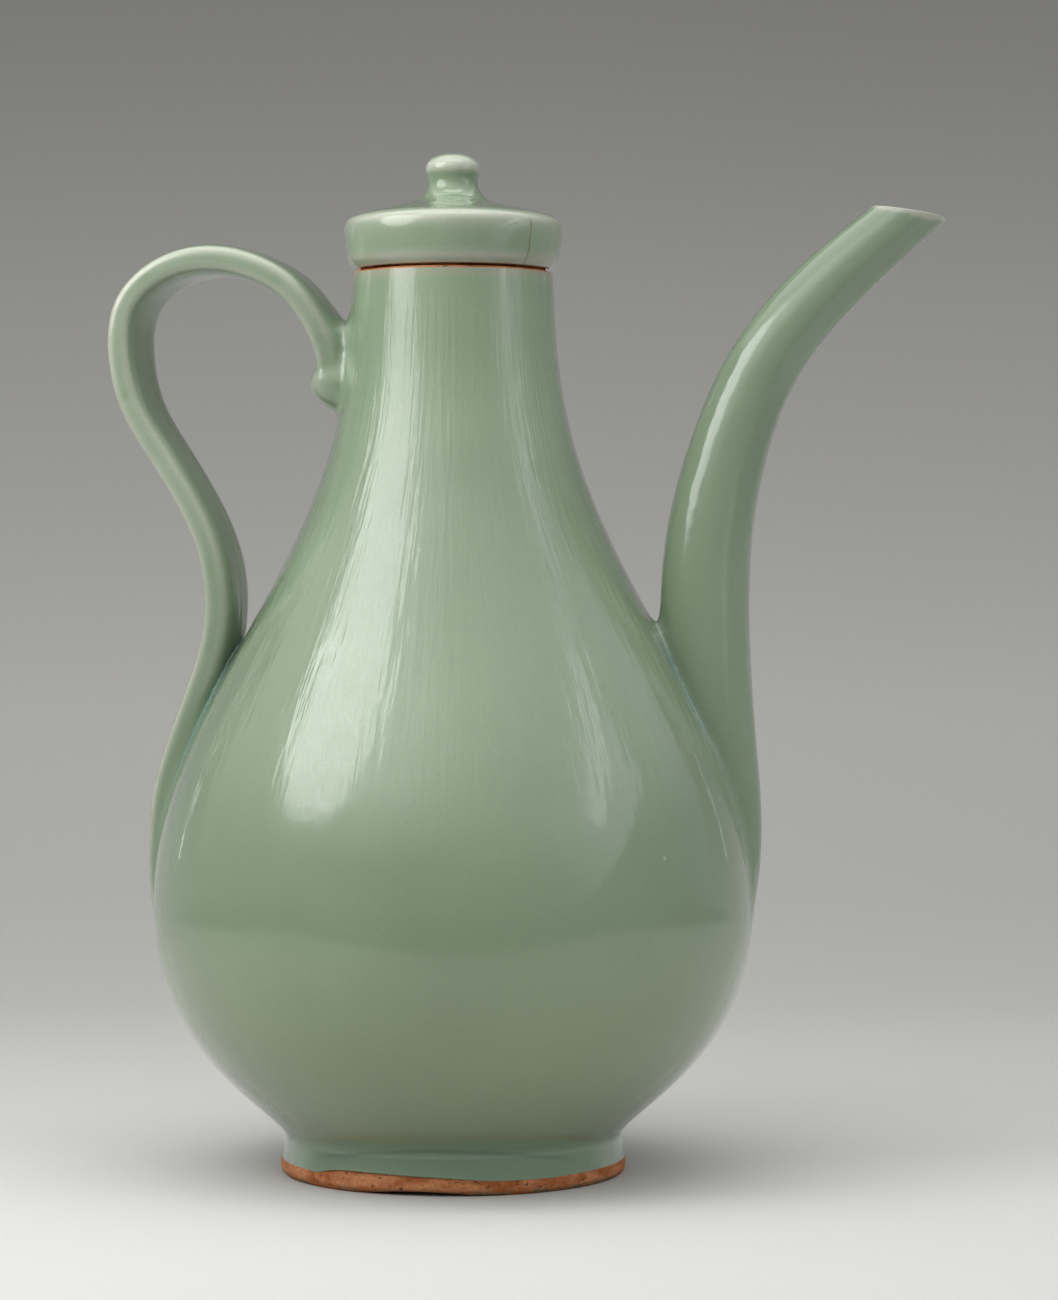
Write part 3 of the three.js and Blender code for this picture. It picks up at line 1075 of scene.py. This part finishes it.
@dataclass
class GlazedSkin:
    """One skin of glaze over the upper body, spout and handle, parted at the potter's joints."""

    shop: Workshop
    grain: float = 1.15
    quick_grain: float = 2.2
    seam: float = 66
    rim: float = 286.5
    wall: float = 5
    spare: float = 8
    margin: float = 2
    edge_slack: float = 0.4
    lip_slack: float = 0.05
    body_points: int = 90
    body_turns: int = 96
    spout_mesh: tuple = (48, 90)
    strap_mesh: tuple = (40, 160)
    lip_reach: float = 101.7
    lip_rise: float = 19.4
    lip_tilt: float = 9.6
    lip_rounding: tuple = ((0.35, 0.25), (0.8, 0.38), (1.5, 0.35), (2.0, 0.05), (2.25, -0.6))
    lip_section: float = 12
    bore_start: float = 24
    bore_end: float = 95
    bore_rings: int = 40
    bore_walls: tuple = (4.6, 2.4)
    bore_root: float = 60
    turns: int = 128
    glaze_reach: int = 5
    coats: tuple = (
        Coat("shoulder_and_neck", ("upper_body",), 0),
        Coat("spout_glaze", ("spout",), 0.045),
        Coat("strap_handle", ("handle",), 0.05),
    )

    def lip_plane(self) -> tuple[Vector, Vector]:
        """Point on the cut across the spout's lip, and the direction that it faces."""
        tilt = math.radians(self.lip_tilt)
        point = Vector((OUTLINE.rim_radius + self.lip_reach, 0, OUTLINE.rim_height + self.lip_rise))
        return point, Vector((math.sin(tilt), 0, math.cos(tilt)))

    def curl(self) -> BMesh:
        """Rolled end of the strap: two balls beside each other."""
        bm = bmesh.new()
        x, z = STRAP.centres[0]
        reach = FIELD.curl_half_width - FIELD.curl_radius
        ball = {"u_segments": 32, "v_segments": 16, "radius": FIELD.curl_radius}
        for y in (-reach, reach):
            bmesh.ops.create_uvsphere(bm, matrix=Matrix.Translation((x, y, z)), **ball)
        return bm

    def luted(self) -> BMesh:
        """Body, spout, strap and curl joined, and cut open at the seam, the rim and the lip."""
        low, high = self.seam - self.spare, OUTLINE.rim_height + self.spare
        heights = np.linspace(low, high, self.body_points)
        outline = [(0, low), *zip(BODY.at(heights)[:, 0], heights), (0, high)]
        strap, curl = lofted(STRAP, *self.strap_mesh), self.curl()
        lean = Matrix.Identity(4)
        lean[0][1] = FIELD.strap_lean
        for part in (strap, curl):
            bmesh.ops.transform(part, matrix=lean, verts=part.verts)
        grain = self.grain
        skin = fused([spun(outline, self.body_turns), lofted(SPOUT, *self.spout_mesh), strap, curl], grain)
        neck = OUTLINE.rim_radius + self.margin
        self.cut(skin, list(skin.verts), UP * self.seam, -UP)
        self.cut(skin, [v for v in skin.verts if radius_of(v) < neck], UP * self.rim, UP)
        self.cut(skin, [v for v in skin.verts if v.co.x > OUTLINE.belly_radius], *self.lip_plane())
        return skin

    def cut(self, bm: BMesh, near: list[BMVert], point: Vector, facing: Vector) -> None:
        """Cut off what lies beyond a plane.

        Args:
            bm: the skin.
            near: vertices of the region that the cut goes through.
            point: a point on the plane.
            facing: the side that is cut off.
        """
        near = set(near)
        faces = [f for f in bm.faces if any(v in near for v in f.verts)]
        edges = dict.fromkeys(e for f in faces for e in f.edges)
        verts = dict.fromkeys(v for f in faces for v in f.verts)
        plane = {"plane_co": point, "plane_no": facing, "clear_outer": True, "use_snap_center": False}
        bmesh.ops.bisect_plane(bm, geom=[*verts, *edges, *faces], dist=WELD, **plane)

    def settle(self, bm: BMesh, rounds: int = 5, least_pull: float = 0.2) -> tuple[np.ndarray, tuple]:
        """Let the skin sink to the glaze's own surface, and keep its cut edges in their planes.

        Args:
            bm: the skin.
            rounds: number of steps.
            least_pull: lowest slope of the field that a step counts with, so that none goes too far.

        Returns:
            The outward direction at each vertex, and the nearest samples of the bars.
        """
        bm.verts.ensure_lookup_table()
        even_out(bm, bm.verts)
        edge = np.array([v.is_boundary for v in bm.verts])
        points = positions(bm)
        lip, facing = (np.array(part) for part in self.lip_plane())
        on_neck = np.hypot(points[:, 0], points[:, 1]) < OUTLINE.rim_radius + self.margin
        at_seam = edge & (points[:, 2] < self.seam + self.margin)
        at_rim = edge & (points[:, 2] > self.rim - self.margin) & on_neck
        at_lip = edge & ~at_seam & ~at_rim
        for step in range(rounds):
            near = FIELD.near(points)
            normal = FIELD.normal(points, near)
            pull = np.maximum((normal**2).sum(1), least_pull)[:, None]
            points = points - FIELD.gap(points, near)[:, None] * normal / pull
            points[at_seam, 2] = self.seam
            points[at_rim, 2] = self.rim
            points[at_lip] -= ((points[at_lip] - lip) @ facing)[:, None] * facing
            if step == 1:
                place_all(bm, points)
                even_out(bm, [v for v in bm.verts if not v.is_boundary])
                points = positions(bm)
        place_all(bm, points)
        near = FIELD.near(points)
        normal = FIELD.normal(points, near)
        return normal / np.linalg.norm(normal, axis=1)[:, None], near

    def build(self) -> list[Object]:
        """Make the skin, part it into its pieces and finish them."""
        bm = self.luted()
        normals, near = self.settle(bm)
        owner = np.stack(FIELD.gaps(positions(bm), near), 1).argmin(1)
        layer = bm.verts.layers.float_vector.new("outward")
        for vert, normal in zip(bm.verts, normals):
            vert[layer] = normal
        bm.verts.index_update()
        face_owner = [np.bincount([owner[v.index] for v in f.verts]).argmax() for f in bm.faces]
        parts = []
        for number in range(len(self.coats)):
            part = bm.copy()
            others = [f for f, owned in zip(part.faces, face_owner) if owned != number]
            bmesh.ops.delete(part, geom=others, context="FACES")
            parts.append(part)
        bm.free()
        body, spout, _ = parts
        self.line_inside(body)
        self.finish_lip(spout)
        made, shop = [], self.shop
        for (name, nodes, thin), part in zip(self.coats, parts):
            outward = part.verts.layers.float_vector["outward"]
            part.normal_update()
            rows = [v[outward] if v[outward].length > 0.5 else v.normal for v in part.verts]
            made.append(shop.piece(name, part, Body.VESSEL, shop.glaze, nodes, self.glaze_reach, thin, rows))
        return made

    def line_inside(self, bm: BMesh) -> None:
        """Add the inner wall of the body, joined to the skin at the seam and at the rim."""
        wall = spun(inner_outline(self.wall, self.seam, self.rim - 0.3, 60), self.turns)
        bmesh.ops.reverse_faces(wall, faces=wall.faces)
        add_part(bm, wall)
        for height in (self.seam, self.rim):
            loop = [e for e in bm.edges if e.is_boundary]
            loop = [e for e in loop if all(abs(v.co.z - height) < self.edge_slack for v in e.verts)]
            for edge in bmesh.ops.bridge_loops(bm, edges=loop)["edges"]:
                edge.seam = True

    def finish_lip(self, bm: BMesh) -> None:
        """Round the spout's lip over and carry the bore down inside, closed at its end."""
        lip, facing = self.lip_plane()
        edges = [e for e in bm.edges if e.is_boundary]
        edges = [e for e in edges if all(abs((v.co - lip).dot(facing)) < self.lip_slack for v in e.verts)]
        rim = dict.fromkeys(v for e in edges for v in e.verts)
        middle = sum((v.co for v in rim), Vector()) / len(rim)
        done = (0, 0)
        for inset, rise in self.lip_rounding:
            edges, ring = drawn_out(bm, edges)
            for vert in ring:
                flat = vert.co - middle
                flat -= facing * flat.dot(facing)
                vert.co += -flat.normalized() * (inset - done[0]) + facing * (rise - done[1])
            self.take_faces_normal(bm, ring)
            done = (inset, rise)
        section = SPOUT.loop_place(SPOUT.length - self.lip_section).inverted()
        local = [section @ vert.co for vert in ring]
        turns = [math.atan2(point.y, point.x) for point in local]
        # Known fault: a new ring can come in another order than the old one, and then faces in the bore cross.
        for place in np.linspace(SPOUT.length - self.bore_start, self.bore_end, self.bore_rings):
            edges, ring = drawn_out(bm, edges)
            wall = float(np.interp(place, (self.bore_root, SPOUT.length), self.bore_walls))
            axis = SPOUT.loop_place(float(place), inset=wall)
            for vert, turn in zip(ring, turns):
                vert.co = axis @ Vector((math.cos(turn), math.sin(turn), 0))
            self.take_faces_normal(bm, ring)
        edges, ring = drawn_out(bm, edges)
        self.take_faces_normal(bm, ring)
        bmesh.ops.pointmerge(bm, verts=ring, merge_co=axis.translation)

    def take_faces_normal(self, bm: BMesh, verts: Iterable[BMVert]) -> None:
        """Clear the outward direction of new vertices, so that it comes from their faces."""
        layer = bm.verts.layers.float_vector["outward"]
        for vert in verts:
            vert[layer] = (0, 0, 0)


def inner_outline(wall: float, low: float, high: float, count: int) -> list[tuple[float, float]]:
    """Outline of the body's inner wall.

    Args:
        wall: thickness of the wall.
        low: lowest height.
        high: highest height.
        count: number of points.

    Returns:
        Points of radius and height.
    """
    heights = np.linspace(OUTLINE.base_height + 2, OUTLINE.rim_height + 4, 400)
    slope = BODY.slope(heights)[:, 0]
    length = np.hypot(1, slope)
    radii = BODY.at(heights)[:, 0] - wall / length
    inner_heights = heights + wall * slope / length
    order = np.argsort(inner_heights)
    wanted = np.linspace(low, high, count)
    return list(zip(np.interp(wanted, inner_heights[order], radii[order]), wanted))


@dataclass
class Bowl:
    """Lower body: the glazed bowl down to the uneven edge of the glaze on the foot."""

    shop: Workshop
    seam: float = 66
    wall: float = 5
    floor: float = 19
    turns: int = 256
    glaze_reach: int = 2
    start: float = 4.4
    free: float = 11.0
    foot_radius: float = 53.3
    slack: float = 0.01
    underside: tuple = (
        *((0, 12.4), (20, 12.4), (42, 12.4), (45.5, 12.0), (47.2, 10.8), (50, 11.2), (53, 10)),
        *((53.6, 5.6), (54.1, 4.65), (54.6, 4.4), (54.95, 4.7)),
    )
    edge: tuple = (
        *((-173, 2.9), (-156, 3.4), (-138, 3.6), (-126, 6.0), (-118, 6.5), (-108, 6.4), (-94, 6.0)),
        *((-81, 5.3), (-68, 4.35), (-59, 4.25), (-43, 4.0), (-26, 3.5), (-4, 3.7), (20, 4.6)),
        *((48, 5.2), (75, 4.1), (100, 4.4), (130, 5.6), (160, 4.2), (187, 2.9)),
    )

    def build(self) -> Object:
        """Turn the bowl and let its glaze run down to the uneven edge."""
        lowest = self.start + np.array([0.8, 1.4])
        heights = [lowest[0], *np.linspace(lowest[1], 20, 34), *np.linspace(21.2, self.seam, 34)]
        outside = list(zip(BODY.at(heights)[:, 0], heights))
        inside = inner_outline(self.wall, self.floor + 1.2, self.seam, 30)[::-1]
        low = inside[-1][0]  # foot of the inner wall, with a soft corner on to the floor
        floor = [(low - 2.2, self.floor + 0.4), (low - 5, self.floor), (20, self.floor), (0, self.floor)]
        bm = spun([*self.underside, *outside, *inside, *floor], self.turns)
        line = Spline(*zip(*self.edge))
        for vert in bm.verts:
            if radius_of(vert) > self.foot_radius and vert.co.z < self.free:
                share = (self.free - vert.co.z) / (self.free - self.start)
                vert.co.z += (float(line.at(azimuth_of(vert))[0, 0]) - self.start) * min(share, 1)
        for edge in bm.edges:
            edge.seam = all(self.at_seam(vert) for vert in edge.verts) and not self.level(edge)
        bm.normal_update()
        rows = [self.outward(vert) for vert in bm.verts]
        shop, reach = self.shop, self.glaze_reach
        return shop.piece("bowl", bm, Body.VESSEL, shop.glaze, ["lower_body"], reach, normals=rows)

    def at_seam(self, vert: BMVert) -> bool:
        """Whether a vertex lies at the seam with the upper body."""
        return vert.co.z > self.seam - self.slack

    def level(self, edge: BMEdge) -> bool:
        """Whether an edge runs round the pot at one radius."""
        first, second = (radius_of(vert) for vert in edge.verts)
        return abs(first - second) < self.slack

    def outward(self, vert: BMVert) -> Vector:
        """Outward direction at a vertex, taken from the outline at the seam so that no line shows there."""
        if not self.at_seam(vert):
            return vert.normal
        radius = radius_of(vert)
        side = 1 if radius > float(BODY.at(self.seam)[0, 0]) - self.wall / 2 else -1
        slope = float(BODY.slope(self.seam)[0, 0])
        return side * Vector((vert.co.x / radius, vert.co.y / radius, -slope)).normalized()


@dataclass
class FootRing:
    """Bare turned foot, with its worn edge and the hollow inside it."""

    shop: Workshop
    turns: int = 256
    worn_middle: float = -95
    worn_reach: float = 27
    worn_depth: float = 1.3
    worn_height: float = 3
    outline: tuple = (
        *((47.0, 12.0), (47.6, 8.0), (48.1, 3.0), (48.4, 1.3), (49.0, 0.35), (49.9, 0.0)),
        *((51.8, 0.0), (53.5, 0.0), (54.3, 0.3), (54.85, 0.95), (55.15, 2.0), (55.2, 3.4)),
        *((54.9, 4.6), (54.3, 5.4), (53.9, 8.0), (53.6, 12.0), (50.0, 12.1), (47.0, 12.0)),
    )

    def build(self) -> Object:
        """Turn the ring and wear its edge away at the front."""
        bm = spun(self.eased(), self.turns)
        for vert in bm.verts:
            off = (azimuth_of(vert) - self.worn_middle) / self.worn_reach
            if abs(off) < 1 and vert.co.z < self.worn_height:
                vert.co.z += self.worn_depth * (1 - off**2) ** 2 * (1 - vert.co.z / self.worn_height)
        return self.shop.piece("foot", bm, Body.VESSEL, self.shop.clay, ["foot_ring"])

    def eased(self) -> list[tuple[float, float]]:
        """Outline with the middles of its sides put in between its corners."""
        points = np.array(self.outline)
        eased = np.empty((2 * len(points) - 3, 2))
        eased[::2] = (points[:-1] + points[1:]) / 2
        eased[1::2] = points[1:-1]
        return [tuple(point) for point in (points[0], *eased, points[-1])]


@dataclass
class MouthRim:
    """Bare edge of the mouth, which the lid rests on."""

    shop: Workshop
    turns: int = 192
    outline: tuple = (
        *((27.6, 285.0), (27.45, 286.3), (27.7, 286.9), (28.4, 287.2), (30.6, 287.2)),
        *((31.3, 287.0), (31.7, 286.7), (31.8, 286.2), (31.6, 285.0), (27.6, 285.0)),
    )

    def build(self) -> Object:
        """Turn the rim."""
        return self.shop.piece("mouth_rim", spun(self.outline, self.turns), Body.VESSEL, self.shop.clay)


@dataclass
class Lid:
    """Lid: the glazed cap with its knob, and the bare flange that drops into the mouth.

    Outlines are pairs of a radius and a height over the seat.
    """

    shop: Workshop
    seat: float = 287.7
    turns: int = 192
    points: int = 150
    joint_slack: float = 1e-3
    knob_foot: float = 22.9
    glaze_reach: int = 3
    cap_thinness: float = 0.09
    knob_thinness: float = 0.06
    top: tuple = (
        *((31.5, 0.3), (33.2, 2.2), (34.3, 5.8), (34.9, 9.8), (35.05, 13.0), (34.4, 15.3), (32.4, 16.9)),
        *((29.0, 18.0), (23.7, 19.3), (16.5, 20.9), (12.0, 22.2), (9.4, 24.2), (8.2, 26.4), (7.9, 28.3)),
        *((8.25, 30.2), (8.8, 32.0), (8.65, 33.7), (7.2, 35.6), (4.2, 37.05), (0.0, 37.45), (-4.2, 37.05)),
    )
    under: tuple = (
        *((0, 17.4), (8, 17.2), (16, 15.4), (20.5, 11.5), (22.4, 6), (22.6, 0.6), (30.0, 0.6), (31.0, 0.2)),
    )
    flange: tuple = (
        *((29.5, 0.5), (29.5, 0.05), (29.1, 0), (27.2, 0), (26.6, -0.5), (26.5, -2), (26.45, -12.1)),
        *((26.1, -12.9), (25.4, -13.3), (23.6, -13.3), (22.9, -12.9), (22.55, -12.1), (22.5, 0)),
        *((22.5, 1.5), (23.2, 1.6), (29.5, 0.5)),
    )

    def lifted(self, outline: Iterable[tuple[float, float]]) -> list[tuple[float, float]]:
        """Outline raised to the seat."""
        return [(radius, self.seat + height) for radius, height in outline]

    def outline(self) -> list[tuple[float, float]]:
        """Smooth outline of the lid's top from its lower edge to the crown of the knob."""
        points = np.array(self.top)
        run = np.concatenate([[0], np.cumsum(np.hypot(*np.diff(points, axis=0).T))])
        line = Spline(run, points).at(np.linspace(0, run[-2], self.points))
        line[-1, 0] = 0
        return self.lifted(line)

    def run_on(self, bm: BMesh, line: list[tuple[float, float]], joint: int) -> list[tuple]:
        """Outward directions that run on smoothly over the joint between cap and knob.

        Args:
            bm: the cap or the knob.
            line: the lid's outline.
            joint: number of the outline's point at the joint.

        Returns:
            The direction at each vertex.
        """
        bm.normal_update()
        (low_out, low), (high_out, high) = line[joint - 1], line[joint + 1]
        slope = Vector((high - low, low_out - high_out)).normalized()
        rows = [tuple(vert.normal) for vert in bm.verts]
        for i, vert in enumerate(bm.verts):
            if abs(vert.co.z - line[joint][1]) < self.joint_slack and radius_of(vert) > 1:
                out = vert.co.xy.normalized() * slope.x
                rows[i] = (out.x, out.y, slope.y)
        return rows

    def build(self) -> list[Object]:
        """Turn the lid's pieces."""
        line = self.outline()
        split = next(i for i, (_, z) in enumerate(line) if z > self.seat + self.knob_foot)
        foot = (0, line[split][1])
        cap = spun([*self.lifted(self.under), *line[: split + 1], foot], self.turns)
        knob = spun([foot, *line[split:]], self.turns)
        glazed = (
            ("lid_cap_glaze", cap, ["lid_cap"], self.cap_thinness),
            ("knob", knob, ["lid_knob"], self.knob_thinness),
        )
        shop, reach = self.shop, self.glaze_reach
        made = []
        for name, bm, nodes, thin in glazed:
            rows = self.run_on(bm, line, split)
            made.append(shop.piece(name, bm, Body.LID, shop.glaze, nodes, reach, thin, rows))
        ring = spun(self.lifted(self.flange), self.turns)
        return [*made, shop.piece("flange", ring, Body.LID, shop.clay, ["lid_flange"])]


class Fade(NamedTuple):
    """How far in from each edge a soft light fades, as a share of its half size, as seen from the pot."""

    left: float
    right: float
    below: float
    above: float


EVEN = Fade(0.06, 0.06, 0.06, 0.06)
SOFT = Fade(0.5, 0.5, 0.5, 0.5)


@dataclass(frozen=True)
class SoftLight:
    """One soft light: a glowing sheet that faces the pot, seen only in what it lights."""

    name: str
    azimuth: float
    elevation: float
    distance: float
    width: float
    height: float
    strength: float
    fade: Fade
    lean: float = 0
    round_edge: float = 0
    unevenness: float = 0
    aim: float = 0.15
    cloth_scale: tuple = (34, 20, 1)
    cloth_span: tuple = (0.35, 0.65)
    tint: tuple = (1, 0.99, 0.975)

    def place(self) -> None:
        """Stand the light round the pot."""
        turn, rise = math.radians(self.azimuth), math.radians(self.elevation)
        away = Vector((math.cos(turn) * math.cos(rise), math.sin(turn) * math.cos(rise), math.sin(rise)))
        bm = bmesh.new()
        bmesh.ops.create_grid(bm, x_segments=1, y_segments=1, size=0.5)
        sheet = set_down(self.name, mesh_of(self.name, bm))
        sheet.matrix_world = (
            Matrix.Translation(AXIS + UP * self.aim + away * self.distance)
            @ (-away).to_track_quat("Z", "Y").to_matrix().to_4x4()
            @ Matrix.Rotation(math.radians(self.lean), 4, "Z")
            @ Matrix.Diagonal((self.width, self.height, 1, 1))
        )
        sheet.data.materials.append(self.material())
        sheet.visible_camera = False

    def material(self) -> Material:
        """Glow that fades towards the edges of the sheet."""
        tree = NodeTree(self.name)
        place = tree.place()
        x, y = (tree.parts(place)[axis] for axis in "XY")
        glow = self.strength
        for value, edge, inset in zip((x, x, y, y), (-0.5, 0.5, -0.5, 0.5), self.fade):
            glow = tree.times(glow, tree.spread(value, edge, edge * (1 - inset)))
        if self.round_edge:
            glow = tree.times(glow, tree.spread(tree.length(place), 0.5, 0.5 - self.round_edge / 2))
        if self.unevenness:
            cloth, uneven = tree.noise(place, self.cloth_scale, 4), self.unevenness
            glow = tree.times(glow, tree.spread(cloth, *self.cloth_span, 1 - uneven, 1 + uneven))
        glow = tree.times(glow, tree.math("SUBTRACT", 1, tree.backfacing()))
        light = tree.add("ShaderNodeEmission", {"Strength": glow, "Color": self.tint}).outputs["Emission"]
        return tree.finish(tree.add("ShaderNodeAddShader", {0: light, 1: tree.clear()}).outputs["Shader"])


@dataclass
class Studio:
    """Pale paper floor and backdrop, soft lights and the camera."""

    camera_distance: float = 1.212
    camera_height: float = 0.190
    focal_pixels: float = 3787
    picture: tuple = (1058, 1300)
    axis_pixel: tuple = (453.3, 577)
    sensor: float = 36
    room_glow: float = 1.25
    room_shades: tuple = ((0.25, 0.25), (0.85, 1.1))
    paper_front: float = -2.4
    paper_level: float = 0.45
    paper_bend: float = 1.4
    paper_top: float = 3.2
    paper_half_width: float = 3
    lights: tuple = (
        SoftLight(
            *("left_light", CAMERA_SIDE - 59, 37, 0.5, 0.40, 0.44, 3.2, Fade(0.5, 0.15, 0.1, 0.3)),
            round_edge=0.3,
            unevenness=0.45,
        ),
        SoftLight("left_scrim", CAMERA_SIDE - 40, 36, 0.6, 0.95, 0.62, 1.3, Fade(1, 0.3, 1, 0.6)),
        SoftLight(
            *("right_light", CAMERA_SIDE + 66, 33, 0.64, 0.1, 0.42, 1.3, Fade(0.1, 1.5, 0.1, 0.6)),
            lean=36,
            unevenness=0.5,
        ),
        SoftLight("right_scrim", CAMERA_SIDE + 53, 22, 0.56, 0.36, 0.64, 0.75, Fade(0.1, 1.2, 1.0, 0.3), 51),
        SoftLight("front_light", CAMERA_SIDE, 77, 1.3, 1.3, 0.36, 3.3, SOFT),
        SoftLight("top_light", CAMERA_SIDE + 180, 72, 1.5, 1.9, 1.1, 0.45, SOFT),
        SoftLight("left_strip", CAMERA_SIDE - 129, 20, 1.7, 0.02, 1.4, 3.0, EVEN),
        SoftLight("right_strip", CAMERA_SIDE + 129, 20, 1.7, 0.02, 1.4, 1.2, EVEN),
    )

    def build(self) -> None:
        """Set up the whole studio."""
        self.paper()
        for light in self.lights:
            light.place()
        self.surroundings()
        self.camera()

    def paper(self, steps: int = 24) -> None:
        """Lay the floor, which curves up into the backdrop in a number of steps."""
        bm = bmesh.new()
        start, bend = self.paper_level, self.paper_bend
        turns = [math.pi / 2 * i / steps for i in range(1, steps + 1)]
        line = [(self.paper_front, 0), (0, 0), (start, 0)]
        line += [(start + bend * math.sin(turn), bend * (1 - math.cos(turn))) for turn in turns]
        line += [(start + bend, self.paper_top)]
        verts = [bm.verts.new((-self.paper_half_width, y, z)) for y, z in line]
        edges = [bm.edges.new(pair) for pair in zip(verts, verts[1:])]
        _, far = drawn_out(bm, edges)
        bmesh.ops.translate(bm, verts=far, vec=(2 * self.paper_half_width, 0, 0))
        bm.normal_update()
        bmesh.ops.reverse_faces(bm, faces=[f for f in bm.faces if f.normal.z < -0.5 or f.normal.y > 0.5])
        mesh = mesh_of("paper", bm)
        mesh.shade_smooth()
        mesh.materials.append(Paper().material())
        sheet = set_down("paper", mesh)
        turn = Matrix.Rotation(math.radians(CAMERA_SIDE + 90), 4, "Z")
        sheet.matrix_world = Matrix.Translation(AXIS) @ turn

    def surroundings(self) -> None:
        """Give the rest of the room a dim light that grows with height."""
        world = bpy.data.worlds.new("room")
        world.use_nodes = True
        nodes, links = world.node_tree.nodes, world.node_tree.links
        background = nodes["Background"]
        height = nodes.new("ShaderNodeSeparateXYZ")
        links.new(nodes.new("ShaderNodeTexCoord").outputs["Generated"], height.inputs[0])
        ramp = nodes.new("ShaderNodeValToRGB")
        links.new(height.outputs["Z"], ramp.inputs["Fac"])
        for element, (rise, glow) in zip(ramp.color_ramp.elements, self.room_shades):
            element.position = rise
            element.color = (glow, glow, glow, 1)
        links.new(ramp.outputs["Color"], background.inputs["Color"])
        background.inputs["Strength"].default_value = self.room_glow
        bpy.context.scene.world = world
        bpy.context.scene.view_settings.view_transform = "Standard"

    def camera(self) -> None:
        """Stand the camera at the photograph's viewing angle."""
        turn = math.radians(CAMERA_SIDE)
        away = Vector((math.cos(turn), math.sin(turn), 0))
        right = Vector((-math.sin(turn), math.cos(turn), 0))
        width, height = self.picture
        look = (
            -away * self.focal_pixels
            + right * (width / 2 - self.axis_pixel[0])
            - UP * (height / 2 - self.axis_pixel[1])
        )
        data = bpy.data.cameras.new("camera")
        data.sensor_fit = "VERTICAL"
        data.sensor_height = self.sensor
        data.lens = self.sensor * self.focal_pixels / height
        data.clip_end = 50
        view = set_down("camera", data)
        spot = AXIS + away * self.camera_distance + UP * self.camera_height
        view.matrix_world = Matrix.Translation(spot) @ look.to_track_quat("-Z", "Y").to_matrix().to_4x4()
        bpy.context.scene.camera = view


def main() -> None:
    """Build the ewer's pieces and the studio round it."""
    logging.basicConfig(level=logging.INFO, format="%(name)s: %(message)s")
    shop = Workshop()
    GlazedSkin(shop).build()
    Bowl(shop).build()
    FootRing(shop).build()
    MouthRim(shop).build()
    Lid(shop).build()
    Studio().build()


if __name__ == "__main__":
    main()
